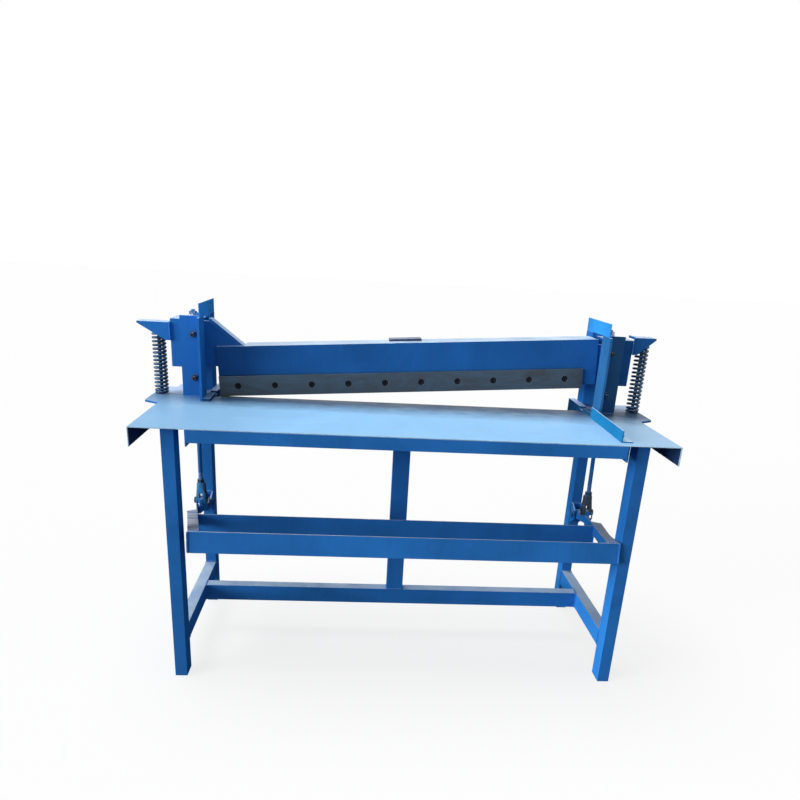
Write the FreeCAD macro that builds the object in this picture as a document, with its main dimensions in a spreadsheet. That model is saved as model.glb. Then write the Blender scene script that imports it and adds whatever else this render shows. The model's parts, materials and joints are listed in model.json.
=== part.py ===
import FreeCAD, Part
import math
import os
import Sketcher

# Treadle guillotine shear for sheet metal, in millimetres.
# The origin is on the floor under the middle of the bounding box: X to the operator's right,
# Y away from the operator, Z up. Everything stands at rest, with the blade beam raised.
# One spring bracket reaches out further than the other, so the middle of the legs is a little
# to the right of the origin. Sizes in X are measured from the middle of the legs.

Vector = FreeCAD.Vector
Rotation = FreeCAD.Rotation
LEFT, RIGHT = -1, 1
SIDES = ((LEFT, "left"), (RIGHT, "right"))

doc = FreeCAD.newDocument("treadle_shear")


# Driving dimensions

DIMENSIONS = {
    # Frame
    "leg_span_x": 1490.0,  # outside of the left legs to outside of the right legs
    "leg_span_y": 600.0,  # front of the front legs to back of the rear legs
    "tube_narrow": 40.0,  # narrow side of the frame's rectangular tube
    "tube_broad": 60.0,  # broad side of the frame's rectangular tube
    "tube_wall": 2.5,  # wall of the frame's rectangular tube
    "rail_top": 172.0,  # floor to the top of the lower rails
    "stretcher_front": 35.0,  # front face of the lower stretcher and the centre post
    # Table
    "table_top": 862.0,  # floor to the top of the table
    "table_width": 1658.0,  # left edge to right edge
    "table_front": 335.0,  # front edge, ahead of the middle of the machine
    "table_back": 335.0,  # back edge of the end plates, behind the middle
    "sheet_gauge": 3.0,  # table sheet
    "side_lip": 60.0,  # drop of the folded side edges
    "lip_end": 28.0,  # where the folded side edges stop, behind the middle
    "end_plate_gauge": 8.0,  # plates at both ends behind the table sheet
    "edge_inner": 665.0,  # middle of the machine to the edge angles' inner face
    "edge_front": 46.0,  # front end of the edge angles, behind the middle
    "edge_leg": 60.0,  # edge angles, upright leg
    "edge_wall": 8.0,  # edge angles, upright leg's thickness
    "edge_rise": 10.0,  # edge angles, flat leg on the table and the end plates
    "edge_relief_front": 154.0,  # relief for the blade beam in the edge angles
    "edge_relief_back": 184.0,  # relief for the blade beam in the edge angles
    "apron_gap": 43.0,  # ends of the front apron to the legs' inner faces
    "apron_leg": 40.0,  # apron angle, each leg
    "apron_wall": 4.0,  # apron angle, thickness
    "cross_rail_depth": 52.0,  # height of the flat bars under the table
    "cross_rail_wall": 5.0,  # thickness of the flat bars under the table
    # Blades
    "shear_line": 150.0,  # cutting plane, behind the middle of the machine
    "blade_length": 1300.0,  # both blades
    "blade_gap": 0.1,  # gap between the two cutting faces
    "rake": 3.75,  # slope of the upper blade in degrees
    "upper_blade_height": 70.0,  # upper blade
    "upper_blade_thick": 10.0,  # upper blade
    "upper_blade_low": 860.0,  # floor to the upper blade's low corner at rest
    "lower_blade_height": 60.0,  # lower blade
    "lower_blade_thick": 16.0,  # lower blade
    "blade_screw_count": 10,  # screws in each blade
    "blade_screw_pitch": 130.0,  # screw to screw along a blade
    "blade_screw_shank": 12.0,  # blade screw, shank diameter
    "blade_screw_head": 22.0,  # blade screw, head diameter
    "blade_screw_recess": 7.0,  # depth of the recess for a screw head
    "blade_screw_socket": 10.0,  # hexagon socket across flats
    "screw_clearance": 0.5,  # gap around a fastener in its hole, on the radius
    # Guides
    "guide_inner": 690.0,  # middle of the machine to the guide angles' inner face
    "guide_top": 1137.0,  # floor to the top of the guide angles
    "guide_wall": 8.0,  # thickness of the guide angles
    "front_guide_leg": 80.0,  # front guide angle, each leg
    "front_guide_face": 124.0,  # back face of the front guide angle
    "rear_guide_leg": 70.0,  # rear guide angle, each leg
    "rear_guide_face": 240.0,  # front face of the rear guide angle
    "cap_height": 46.0,  # cap plate over each pair of guide angles
    "cap_front": 60.0,  # front end of the cap plates
    "cap_back": 308.0,  # back end of the cap plates
    "cap_wall": 4.0,  # thickness of the cap plates
    "gib_thick": 6.0,  # wear strip behind the front guide angle
    "gib_width": 60.0,  # wear strip
    "gib_inset": 4.0,  # wear strip short of the guide's top and foot
    "slide_clearance": 0.05,  # running gap between slide and guide on each side
    "gib_screw_x": 725.0,  # middle of the machine to the gib screws
    "gib_screw_low": 68.0,  # table top to the lower gib screws
    "gib_screw_high": 215.0,  # table top to the upper gib screws
    "gib_screw": 14.0,  # gib screw diameter
    "gib_nut_flats": 22.0,  # gib screw's lock nut across flats
    "gib_nut_high": 11.0,  # gib screw's lock nut
    "gib_screw_out": 16.0,  # gib screw beyond its lock nut
    "gib_screw_socket": 7.0,  # hexagon socket in the gib screws across flats
    "gib_screw_bite": 3.0,  # depth of the screw's tip in the gib
    # Beam
    "beam_web": 160.0,  # blade beam angle, upright leg
    "beam_flange": 100.0,  # blade beam angle, flat leg
    "beam_wall": 10.0,  # blade beam angle, upright leg's thickness
    "beam_flange_wall": 8.0,  # blade beam angle, flat leg's thickness
    "web_above_edge": 12.0,  # upper blade's edge up to the beam's lower edge
    "web_end": 700.0,  # middle of the machine to the beam's right end
    "flange_end": 684.0,  # middle of the machine to the ends of the top flanges
    "riser_foot": 566.0,  # middle of the machine to the foot of the left riser
    "riser_head": 677.0,  # middle of the machine to the head of the left riser
    "riser_top": 1125.0,  # floor to the top of the left riser
    "riser_flange": 47.0,  # depth of the flange along the left riser
    "end_plate_wall": 8.0,  # riser plate and right end plate
    "end_lap": 60.0,  # lap of the end plates behind the beam's web
    "slide_inner": 706.0,  # middle of the machine to the slide boxes
    "slide_width": 100.0,  # slide box, along the machine
    "slide_bottom": 962.0,  # floor to the bottom of the slide boxes
    "slide_top": 1124.0,  # floor to the top of the slide boxes
    "slide_wall": 8.0,  # slide box
    "stroke": 90.0,  # travel of the blade beam
    "crown_x": 14.0,  # middle of the crown plate, right of the machine's middle
    "crown_length": 116.0,  # plate on the back of the top flange
    "crown_width": 50.0,  # plate on the back of the top flange
    "crown_thick": 8.0,  # plate on the back of the top flange
    # Springs
    "spring_x": 852.0,  # middle of the machine to the spring axes
    "spring_y": 156.0,  # spring axes behind the middle
    "spring_outer": 48.0,  # spring, outside diameter
    "spring_wire": 7.5,  # spring wire
    "spring_coils": 17,  # turns of each spring
    "seat_overhang": 51.0,  # spring seats beyond the table's side edges
    "seat_root": 6.0,  # seats' front edge at the table's side edges, behind the middle
    "seat_front": 38.0,  # seats' front edge at their outer edge, behind the middle
    "seat_back": 282.0,  # back edge of the seats, behind the middle
    "bracket_tip_left": 915.0,  # middle of the machine to the left bracket's tip
    "bracket_tip_right": 885.0,  # middle of the machine to the right bracket's tip
    "bracket_top_left": 1111.0,  # floor to the top of the left bracket
    "bracket_top_right": 1135.0,  # floor to the top of the right bracket
    "bracket_leg": 60.0,  # bracket angle, each leg
    "bracket_wall": 6.0,  # bracket angle, thickness
    "bracket_front": 124.0,  # front face of the brackets
    "bracket_foot": 16.0,  # level part of a bracket's lower edge
    "spring_rod": 12.0,  # rod inside each spring, diameter
    "spring_rod_below": 4.0,  # rod below the seat at rest
    "bore_clearance": 0.05,  # running gap on the radius of pins and rods
    # Treadle
    "pivot_ahead": 25.0,  # treadle pivot ahead of the rear legs' front faces
    "pivot_z": 434.0,  # floor to the treadle pivot
    "pivot_pin": 20.0,  # pivot pin diameter
    "lever_radius": 110.0,  # treadle pivot to clevis pin
    "lever_rise": 24.15,  # clevis pin above the pivot's level at rest, in degrees
    "treadle_tilt": 8.0,  # slope of the treadle arms at rest, in degrees
    "front_bar_half": 689.5,  # half the length of the front bar
    "front_bar_shift": 9.5,  # middle of the front bar, right of the middle of the machine
    "treadle_top": 20.5,  # top of the arms above the line through the pivot
    "front_bar_reach": 529.0,  # pivot to the front bar's front face, along the arms
    "rear_bar_reach": 291.7,  # pivot to the rear bar's front face, along the arms
    "bar_height": 70.0,  # front and rear bar
    "bar_thick": 6.0,  # front and rear bar
    "arm_front_left": 644.0,  # middle of the machine to the left arm's inner face at the front
    "arm_front_right": 657.0,  # middle of the machine to the right arm's inner face at the front
    "arm_leg": 36.0,  # arm angle, each leg
    "arm_wall": 4.0,  # arm angle, thickness
    "arm_back": 126.0,  # pivot to the arms' back end, along the arms
    "arm_lap": 30.0,  # straight end of the arms beside the levers
    "arm_neck": 423.0,  # pivot to the place where the arms pass the side rails, along the arms
    "arm_neck_gap": 1.5,  # arms' flat leg to the legs' and side rails' inner faces
    "arm_cut_outer": 245.0,  # pivot to the outer end of the arms' flat leg, along the arms
    "arm_cut_inner": 215.0,  # pivot to the inner end of the arms' flat leg, along the arms
    "lever_thick": 12.0,  # lever plate at the end of each arm
    "lever_height": 26.0,  # lever plate's front end
    "lever_boss": 17.0,  # lever plate around the pivot, radius
    "lug_radius": 15.0,  # lever plate around the clevis pin, radius
    "bracket_cheek": 6.0,  # pivot bracket on the rear leg, cheeks and back
    "bracket_low": 46.0,  # pivot bracket below the pivot
    "bracket_high": 38.0,  # pivot bracket above the pivot
    "bracket_nose": 20.0,  # pivot bracket ahead of the pivot
    "pin_head": 6.0,  # heads at both ends of a pivot pin
    "pin_head_wider": 5.0,  # pin heads and collars beyond the pin, on the radius
    "side_play": 0.5,  # free play along a pin
    # Pull rods
    "rod_foot_x": 723.0,  # middle of the machine to the pull rods at the clevis pins
    "rod_head_x": 740.0,  # middle of the machine to the pull rods at the slide boxes' top
    "rod_diameter": 16.0,  # pull rod
    "rod_lean": 6.7,  # pull rods lean back towards the top, in degrees
    "rod_slot_spare": 2.0,  # slots beyond the rods' travel, all round
    "rod_seat_gap": 0.7,  # play under the dished washer at the open pivot
    "dish_radius": 30.0,  # ball face of the dished washer
    "dish_width": 34.0,  # dished washer's diameter
    "dish_thick": 8.0,  # dished washer's thickness at its middle
    "rod_nut_flats": 24.0,  # pull rod nuts across flats
    "rod_nut_high": 13.0,  # pull rod nuts
    "rod_past_nut": 6.0,  # rod end above its nut
    "fork_width": 34.0,  # clevis fork, along the machine
    "fork_depth": 26.0,  # clevis fork, front to back
    "fork_below": 14.0,  # clevis fork below its pin
    "fork_above": 66.0,  # clevis fork above its pin
    "fork_throat": 27.0,  # slot of the fork above its pin
    "fork_pin": 14.0,  # clevis pin diameter
    "fork_pin_flats": 22.0,  # clevis pin's head and nut across flats
    "fork_pin_head": 8.0,  # clevis pin's head and nut
    # Side fence
    "fence_x": 648.0,  # front end, right of the middle
    "fence_y": 302.0,  # front end, ahead of the middle
    "fence_skew": -1.7,  # fence off square, in degrees
    "fence_length": 343.0,  # fence angle
    "fence_leg": 37.0,  # fence angle, each leg
    "fence_wall": 4.0,  # fence angle, thickness
    "fence_screw_end": 60.0,  # fence screws from each end
    "fence_screw": 8.0,  # fence screw diameter
    "fence_screw_flats": 13.0,  # fence screw head across flats
    "fence_screw_head": 5.5,  # fence screw head height
}


class Size:
    """A number together with the sheet formula that it comes from."""

    def __init__(self, value, text):
        self.value = value
        self.text = text

    def __neg__(self):
        return Size(-self.value, "(-" + self.text + ")")

    def __add__(self, other):
        return combined(self, "+", other)

    def __radd__(self, other):
        return combined(other, "+", self)

    def __sub__(self, other):
        return combined(self, "-", other)

    def __rsub__(self, other):
        return combined(other, "-", self)

    def __mul__(self, other):
        return combined(self, "*", other)

    def __rmul__(self, other):
        return combined(other, "*", self)

    def __truediv__(self, other):
        return combined(self, "/", other)


OPERATIONS = {
    "+": lambda a, b: a + b,
    "-": lambda a, b: a - b,
    "*": lambda a, b: a * b,
    "/": lambda a, b: a / b,
}


def as_size(thing):
    """Plain numbers become sizes with themselves as the formula."""
    if isinstance(thing, Size):
        return thing
    return Size(float(thing), "(" + format(float(thing), ".9g") + ")")


def combined(a, sign, b):
    a, b = as_size(a), as_size(b)
    return Size(OPERATIONS[sign](a.value, b.value), "(" + a.text + " " + sign + " " + b.text + ")")


def sine(angle):
    return Size(math.sin(math.radians(angle.value)), "sin(" + angle.text + ")")


def cosine(angle):
    return Size(math.cos(math.radians(angle.value)), "cos(" + angle.text + ")")


def tangent(angle):
    return Size(math.tan(math.radians(angle.value)), "tan(" + angle.text + ")")


def hypotenuse(a, b):
    square = a * a + b * b
    return Size(math.sqrt(square.value), "sqrt(" + square.text + ")")


class Sizes:
    """The driving dimensions, each by its name."""


size = Sizes()
sheet = doc.addObject("Spreadsheet::Sheet", "Sizes")
for row, (name, value) in enumerate(DIMENSIONS.items(), start=1):
    sheet.set("A" + str(row), name)
    sheet.set("B" + str(row), str(value))
    sheet.setAlias("B" + str(row), name)
    setattr(size, name, Size(float(value), "Sizes." + name))
doc.recompute()


# Building blocks

def bind(thing, prop, length):
    thing.setExpression(prop, as_size(length).text)


middle = (size.bracket_tip_left - size.bracket_tip_right) / 2
UNTURNED = (0, 0, 0, Vector(0, 0, 1), 0)


def new_body(label, place=UNTURNED):
    """An empty sub-part; place is (x, y, z, turning axis, angle) from the middle of the legs."""
    body = doc.addObject("PartDesign::Body", label)
    body.Label = label
    x, y, z, axis, angle = place
    x = middle + x
    angle = as_size(angle)
    spot = Vector(x.value, as_size(y).value, as_size(z).value)
    body.Placement = FreeCAD.Placement(spot, Rotation(axis, angle.value))
    for name, length in (("x", x), ("y", y), ("z", z)):
        bind(body, "Placement.Base." + name, length)
    bind(body, "Placement.Rotation.Angle", angle)
    return body


def origin_plane(body, plane):
    return [part for part in body.Origin.OriginFeatures if part.Role == plane + "_Plane"][0]


def hold_point(sketch, index, which, spot):
    """Tie a point of the sketch to its two sheet formulas."""
    for kind, length in zip(("DistanceX", "DistanceY"), spot):
        length = as_size(length)
        row_of = sketch.addConstraint(
            Sketcher.Constraint(kind, -1, 1, index, which, length.value))
        bind(sketch, "Constraints[" + str(row_of) + "]", length)


def add_loop(sketch, corners):
    """A closed outline of straight edges through the corners."""
    first = sketch.GeometryCount
    count = len(corners)
    spots = [Vector(as_size(a).value, as_size(b).value, 0) for a, b in corners]
    for i in range(count):
        sketch.addGeometry(Part.LineSegment(spots[i], spots[(i + 1) % count]), False)
    for i in range(count):
        after = first + (i + 1) % count
        sketch.addConstraint(Sketcher.Constraint("Coincident", first + i, 2, after, 1))
        hold_point(sketch, first + i, 1, corners[i])


def add_circle(sketch, a, b, diameter):
    a, b, diameter = as_size(a), as_size(b), as_size(diameter)
    index = sketch.GeometryCount
    circle = Part.Circle(Vector(a.value, b.value, 0), Vector(0, 0, 1), diameter.value / 2)
    sketch.addGeometry(circle, False)
    hold_point(sketch, index, 3, (a, b))
    row_of = sketch.addConstraint(Sketcher.Constraint("Diameter", index, diameter.value))
    bind(sketch, "Constraints[" + str(row_of) + "]", diameter)


def new_sketch(body, plane, level, loops, circles):
    sketch = body.newObject("Sketcher::SketchObject", body.Label + "_sketch")
    sketch.AttachmentSupport = [(origin_plane(body, plane), "")]
    sketch.MapMode = "FlatFace"
    level = as_size(level)
    bind(sketch, "AttachmentOffset.Base.z", -level if plane == "XZ" else level)
    for corners in loops:
        add_loop(sketch, corners)
    for a, b, diameter in circles:
        add_circle(sketch, a, b, diameter)
    return sketch


def add_pad(body, plane, level, thick, loops=(), circles=()):
    """Material from the level, towards plus, by the thickness. Inner loops are openings."""
    pad = body.newObject("PartDesign::Pad", body.Label + "_pad")
    pad.Profile = new_sketch(body, plane, level, loops, circles)
    pad.Reversed = plane == "XZ"
    bind(pad, "Length", thick)
    body.Tip = pad
    return pad


def add_ball_collar(body, centre, ball, bore, outer, top):
    """A collar around the body's Z axis whose lower face is part of a ball."""
    sketch = new_sketch(body, "XZ", 0, (), ())
    centre, ball, bore, outer, top = [as_size(n) for n in (centre, ball, bore, outer, top)]
    spots = []
    for radius in (bore, outer):
        drop = math.sqrt(ball.value ** 2 - radius.value ** 2)
        spots.append(Vector(radius.value, centre.value - drop, 0))
    inner_low, outer_low = spots
    inner_top = Vector(bore.value, top.value, 0)
    outer_top = Vector(outer.value, top.value, 0)
    bowl = Part.Circle(Vector(0, centre.value, 0), Vector(0, 0, 1), ball.value)
    angles = [math.atan2(spot.y - centre.value, spot.x) for spot in spots]
    sketch.addGeometry(Part.ArcOfCircle(bowl, angles[0], angles[1]), False)
    sketch.addGeometry(Part.LineSegment(outer_low, outer_top), False)
    sketch.addGeometry(Part.LineSegment(outer_top, inner_top), False)
    sketch.addGeometry(Part.LineSegment(inner_top, inner_low), False)
    for one, end, other, start in ((0, 2, 1, 1), (1, 2, 2, 1), (2, 2, 3, 1), (3, 2, 0, 1)):
        sketch.addConstraint(Sketcher.Constraint("Coincident", one, end, other, start))
    hold_point(sketch, 0, 3, (0, centre))
    hold_point(sketch, 1, 2, (outer, top))
    hold_point(sketch, 2, 2, (bore, top))
    for kind, index, length in (("Radius", 0, ball),):
        row_of = sketch.addConstraint(Sketcher.Constraint(kind, index, length.value))
        bind(sketch, "Constraints[" + str(row_of) + "]", length)
    sketch.addConstraint(Sketcher.Constraint("Vertical", 1))
    sketch.addConstraint(Sketcher.Constraint("Vertical", 3))
    turned = body.newObject("PartDesign::Revolution", body.Label + "_collar")
    turned.Profile = sketch
    turned.ReferenceAxis = (sketch, ["V_Axis"])
    turned.Angle = 360
    body.Tip = turned
    return turned


def add_pocket(body, plane, level, depth, loops=(), circles=()):
    """Material taken away from the level, towards plus, by the depth."""
    doc.recompute()
    before = body.Shape.Volume
    pocket = body.newObject("PartDesign::Pocket", body.Label + "_pocket")
    pocket.Profile = new_sketch(body, plane, level, loops, circles)
    pocket.Reversed = plane != "XZ"
    bind(pocket, "Length", depth)
    body.Tip = pocket
    doc.recompute()
    if body.Shape.Volume > before - 1e-3:
        raise RuntimeError(body.Label + ": a pocket cuts nothing")
    return pocket


def box(a0, a1, b0, b1):
    """The four corners of a rectangle."""
    return ((a0, b0), (a1, b0), (a1, b1), (a0, b1))


def hexagon(a, b, flats):
    """The corners of a hexagon around a point."""
    reach = flats / math.sqrt(3)
    return ((a + reach, b), (a + reach / 2, b + flats / 2), (a - reach / 2, b + flats / 2),
            (a - reach, b), (a - reach / 2, b - flats / 2), (a + reach / 2, b - flats / 2))


def mirrored(side, corners):
    """The same outline on the left or on the right of the machine."""
    return tuple((side * a, b) for a, b in corners)


def low_end(side, inner, outer):
    """The smaller X of a slab that lies between inner and outer on one side."""
    return as_size(inner) if side == RIGHT else -as_size(outer)


def plate(label, plane, level, thick, corners, openings=(), circles=(), place=UNTURNED):
    body = new_body(label, place)
    add_pad(body, plane, level, thick, (corners,) + tuple(openings), circles)
    return body


def tube(label, plane, level, length, a0, a1, b0, b1, wall):
    """Rectangular tube along the plane's normal."""
    inside = box(a0 + wall, a1 - wall, b0 + wall, b1 - wall)
    return plate(label, plane, level, length, box(a0, a1, b0, b1), (inside,))


# Frame of rectangular tube

leg_outer = size.leg_span_x / 2
leg_inner = leg_outer - size.tube_narrow
leg_front = -size.leg_span_y / 2
leg_back = size.leg_span_y / 2
leg_face = leg_back - size.tube_broad
sheet_under = size.table_top - size.sheet_gauge
end_plate_under = size.table_top - size.end_plate_gauge
rail_bottom = size.rail_top - size.tube_broad


def make_legs():
    for side, name in SIDES:
        x0 = low_end(side, leg_inner, leg_outer)
        x1 = x0 + size.tube_narrow
        tube("leg_front_" + name, "XY", 0, sheet_under, x0, x1,
             leg_front, leg_front + size.tube_broad, size.tube_wall)
        tube("leg_rear_" + name, "XY", 0, end_plate_under, x0, x1,
             leg_back - size.tube_broad, leg_back, size.tube_wall)


def make_lower_frame():
    rail_start = leg_front + size.tube_broad
    rail_length = size.leg_span_y - 2 * size.tube_broad
    for side, name in SIDES:
        x0 = low_end(side, leg_inner, leg_outer)
        tube("side_rail_" + name, "XZ", rail_start, rail_length, x0, x0 + size.tube_narrow,
             rail_bottom, size.rail_top, size.tube_wall)
    tube("lower_stretcher", "YZ", -leg_inner, 2 * leg_inner,
         size.stretcher_front, size.stretcher_front + size.tube_narrow,
         rail_bottom, size.rail_top, size.tube_wall)
    tube("centre_post", "XY", size.rail_top, sheet_under - size.rail_top,
         -size.tube_broad / 2, size.tube_broad / 2,
         size.stretcher_front, size.stretcher_front + size.tube_narrow, size.tube_wall)


# Table with its aprons, the bed bar and the end plates

blade_front = size.shear_line - size.lower_blade_thick
edge_outer = size.edge_inner + size.edge_wall
apron_half = leg_inner - size.apron_gap
seat_reach = size.table_width / 2 + size.seat_overhang
pivot_y = leg_face - size.pivot_ahead


def make_table():
    half = size.table_width / 2
    body = plate("table_plate", "XY", sheet_under, size.sheet_gauge,
                 box(-half, half, -size.table_front, blade_front))
    for side in (LEFT, RIGHT):
        add_pad(body, "YZ", low_end(side, half - size.sheet_gauge, half), size.sheet_gauge,
                (box(-size.table_front, size.lip_end,
                     size.table_top - size.side_lip, size.table_top),))

    wall, leg = size.apron_wall, size.apron_leg
    front = -size.table_front
    plate("front_apron", "YZ", -apron_half, 2 * apron_half,
          ((front, sheet_under - leg), (front + wall, sheet_under - leg),
           (front + wall, sheet_under - wall), (front + leg, sheet_under - wall),
           (front + leg, sheet_under), (front, sheet_under)))

    rail_z0 = sheet_under - size.cross_rail_depth
    bed_front = blade_front - size.tube_narrow
    for side, name in SIDES:
        x0 = low_end(side, apron_half, apron_half + size.cross_rail_wall)
        plate("cross_rail_" + name, "YZ", x0, size.cross_rail_wall,
              box(front + wall, bed_front, rail_z0, sheet_under))
    tube("bed_bar", "YZ", -edge_outer, 2 * edge_outer, bed_front, blade_front,
         sheet_under - size.tube_broad, sheet_under, size.tube_wall)


def rod_centre(height):
    """Where a pull rod's axis crosses a height at rest, as X on the right and Y."""
    above = height - clevis_z
    return size.rod_foot_x + above * rod_splay, clevis_y + above * tangent(size.rod_lean)


def rod_slot(side, height, thick, fall):
    """The slot for a pull rod in a plate whose middle is at this height.

    Fall is how far the rod drops through the plate over the stroke."""
    spare = size.rod_diameter / 2 + size.rod_slot_spare
    spare_x = spare + thick * rod_splay / 2
    spare_y = spare + thick * tangent(size.rod_lean) / 2
    x0, y0 = rod_centre(height)
    x1, y1 = rod_centre(height + fall)
    return mirrored(side, box(x0 - spare_x, x1 + spare_x, y0 - clevis_swing - spare_y,
                              y1 + spare_y))


def make_end_plates():
    half = size.table_width / 2
    for side, name in SIDES:
        corners = ((edge_outer, blade_front), (half, blade_front),
                   (half, size.seat_root), (seat_reach, size.seat_front),
                   (seat_reach, size.seat_back), (half, size.seat_back),
                   (half, size.table_back), (edge_outer, size.table_back))
        slot = rod_slot(side, end_plate_under + size.end_plate_gauge / 2, size.end_plate_gauge,
                        size.stroke)
        rod_hole = (side * size.spring_x, size.spring_y,
                    size.spring_rod + 2 * size.bore_clearance)
        plate("end_plate_" + name, "XY", end_plate_under, size.end_plate_gauge,
              mirrored(side, corners), (slot,), (rod_hole,))


def make_edge_angles():
    body = new_body("edge_angles")
    top = size.table_top + size.edge_rise
    for side in (LEFT, RIGHT):
        add_pad(body, "YZ", low_end(side, size.edge_inner, edge_outer), size.edge_wall,
                (box(blade_front, size.table_back, top - size.edge_leg, top),))
        add_pad(body, "XY", size.table_top, size.edge_rise,
                (mirrored(side, box(size.edge_inner, size.guide_inner,
                                    size.edge_front, size.table_back)),))
        add_pocket(body, "XY", size.table_top, size.edge_rise,
                   (mirrored(side, box(size.edge_inner, size.guide_inner,
                                       size.edge_relief_front, size.edge_relief_back)),))


# Blades

screw_starts = (size.blade_length - (size.blade_screw_count - 1) * size.blade_screw_pitch) / 2
screw_places = [screw_starts + i * size.blade_screw_pitch
                for i in range(int(size.blade_screw_count.value))]
blade_half = size.blade_length * cosine(size.rake) / 2
upper_front = size.shear_line + size.blade_gap
beam_front = upper_front + size.upper_blade_thick
sloped = (-blade_half, 0, size.upper_blade_low, Vector(0, 1, 0), -size.rake)
screw_bore = size.blade_screw_shank + 2 * size.screw_clearance
head_bore = size.blade_screw_head + 2 * size.screw_clearance


def blade_screws(label, height, head_face, tip, inward, place):
    """One row of socket screws; the heads' faces look against the inward direction."""
    body = new_body(label, place)
    head = size.blade_screw_recess - size.screw_clearance
    length = (tip - head_face) * inward
    spots = [(x, height) for x in screw_places]
    under = head_face + inward * head
    low_head = head_face if inward > 0 else under
    low_shank = under if inward > 0 else tip
    add_pad(body, "XZ", low_head, head, (), [(x, z, size.blade_screw_head) for x, z in spots])
    add_pad(body, "XZ", low_shank, length - head, (),
            [(x, z, size.blade_screw_shank) for x, z in spots])
    socket = head * 0.6
    low_socket = head_face if inward > 0 else head_face - socket
    add_pocket(body, "XZ", low_socket, socket,
               [hexagon(x, z, size.blade_screw_socket) for x, z in spots])


def make_blades():
    mid_height = size.upper_blade_height / 2
    body = plate("upper_blade", "XZ", upper_front, size.upper_blade_thick,
                 box(0, size.blade_length, 0, size.upper_blade_height), (),
                 [(x, mid_height, screw_bore) for x in screw_places], sloped)
    add_pocket(body, "XZ", upper_front, size.blade_screw_recess, (),
               [(x, mid_height, head_bore) for x in screw_places])
    blade_screws("upper_blade_screws", mid_height, upper_front + size.screw_clearance,
                 beam_front + size.beam_wall, 1, sloped)

    start = (-size.blade_length / 2, 0, size.table_top - size.lower_blade_height,
             Vector(0, 0, 1), 0)
    mid_height = size.lower_blade_height / 2
    body = plate("lower_blade", "XZ", blade_front, size.lower_blade_thick,
                 box(0, size.blade_length, 0, size.lower_blade_height), (),
                 [(x, mid_height, screw_bore) for x in screw_places], start)
    add_pocket(body, "XZ", size.shear_line - size.blade_screw_recess, size.blade_screw_recess,
               (), [(x, mid_height, head_bore) for x in screw_places])
    blade_screws("lower_blade_screws", mid_height, size.shear_line - size.screw_clearance,
                 blade_front, -1, start)


# Guides at both ends of the beam

gib_back = size.front_guide_face + size.gib_thick
guide_height = size.guide_top - size.table_top
gib_screw_heights = (size.table_top + size.gib_screw_low, size.table_top + size.gib_screw_high)


def make_guides():
    wall = size.guide_wall
    for side, name in SIDES:
        face, leg = size.front_guide_face, size.front_guide_leg
        x0, x1, x2 = size.guide_inner, size.guide_inner + wall, size.guide_inner + leg
        body = plate("guide_front_" + name, "XY", size.table_top, guide_height,
                     mirrored(side, ((x0, face - leg), (x1, face - leg), (x1, face - wall),
                                     (x2, face - wall), (x2, face), (x0, face))))
        hole = size.gib_screw + 2 * size.screw_clearance
        add_pocket(body, "XZ", face - wall, wall, (),
                   [(side * size.gib_screw_x, z, hole) for z in gib_screw_heights])

        face, leg = size.rear_guide_face, size.rear_guide_leg
        x2 = size.guide_inner + leg
        plate("guide_rear_" + name, "XY", size.table_top, guide_height,
              mirrored(side, ((x0, face), (x2, face), (x2, face + wall),
                              (x1, face + wall), (x1, face + leg), (x0, face + leg))))
        cap_outer = x0 + size.cap_wall
        plate("guide_cap_" + name, "YZ", low_end(side, x0, cap_outer), size.cap_wall,
              box(size.cap_front, size.cap_back, size.guide_top,
                  size.guide_top + size.cap_height))

        body = plate("gib_" + name, "XY", size.table_top + size.gib_inset,
                     guide_height - 2 * size.gib_inset,
                     mirrored(side, box(size.slide_inner, size.slide_inner + size.gib_width,
                                        size.front_guide_face, gib_back)))
        add_pocket(body, "XZ", size.front_guide_face, size.gib_screw_bite, (),
                   [(side * size.gib_screw_x, z, hole) for z in gib_screw_heights])


def make_gib_screws():
    body = new_body("gib_bolts")
    guide_face = size.front_guide_face - size.guide_wall
    spots = [(side * size.gib_screw_x, z) for side in (LEFT, RIGHT) for z in gib_screw_heights]
    nut_face = guide_face - size.gib_nut_high
    end = nut_face - size.gib_screw_out
    tip = size.front_guide_face + size.gib_screw_bite
    add_pad(body, "XZ", nut_face, size.gib_nut_high,
            [hexagon(x, z, size.gib_nut_flats) for x, z in spots])
    add_pad(body, "XZ", end, tip - end, (), [(x, z, size.gib_screw) for x, z in spots])
    add_pocket(body, "XZ", end, size.gib_screw_socket,
               [hexagon(x, z, size.gib_screw_socket) for x, z in spots])


# Blade beam

beam_low = size.web_above_edge
beam_high = size.web_above_edge + size.beam_web
lap_front = beam_front + size.beam_wall
flange_back = beam_front + size.beam_flange


def along_beam(x, height=0):
    """Distance along the sloped beam, at a height square to it, to a place given as X."""
    return (x + blade_half + height * sine(size.rake)) / cosine(size.rake)


def beam_top_at(x):
    """Height of the beam's top face above the floor at a place given as X."""
    rise = (x + blade_half) * tangent(size.rake)
    return size.upper_blade_low + beam_high / cosine(size.rake) + rise


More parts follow.
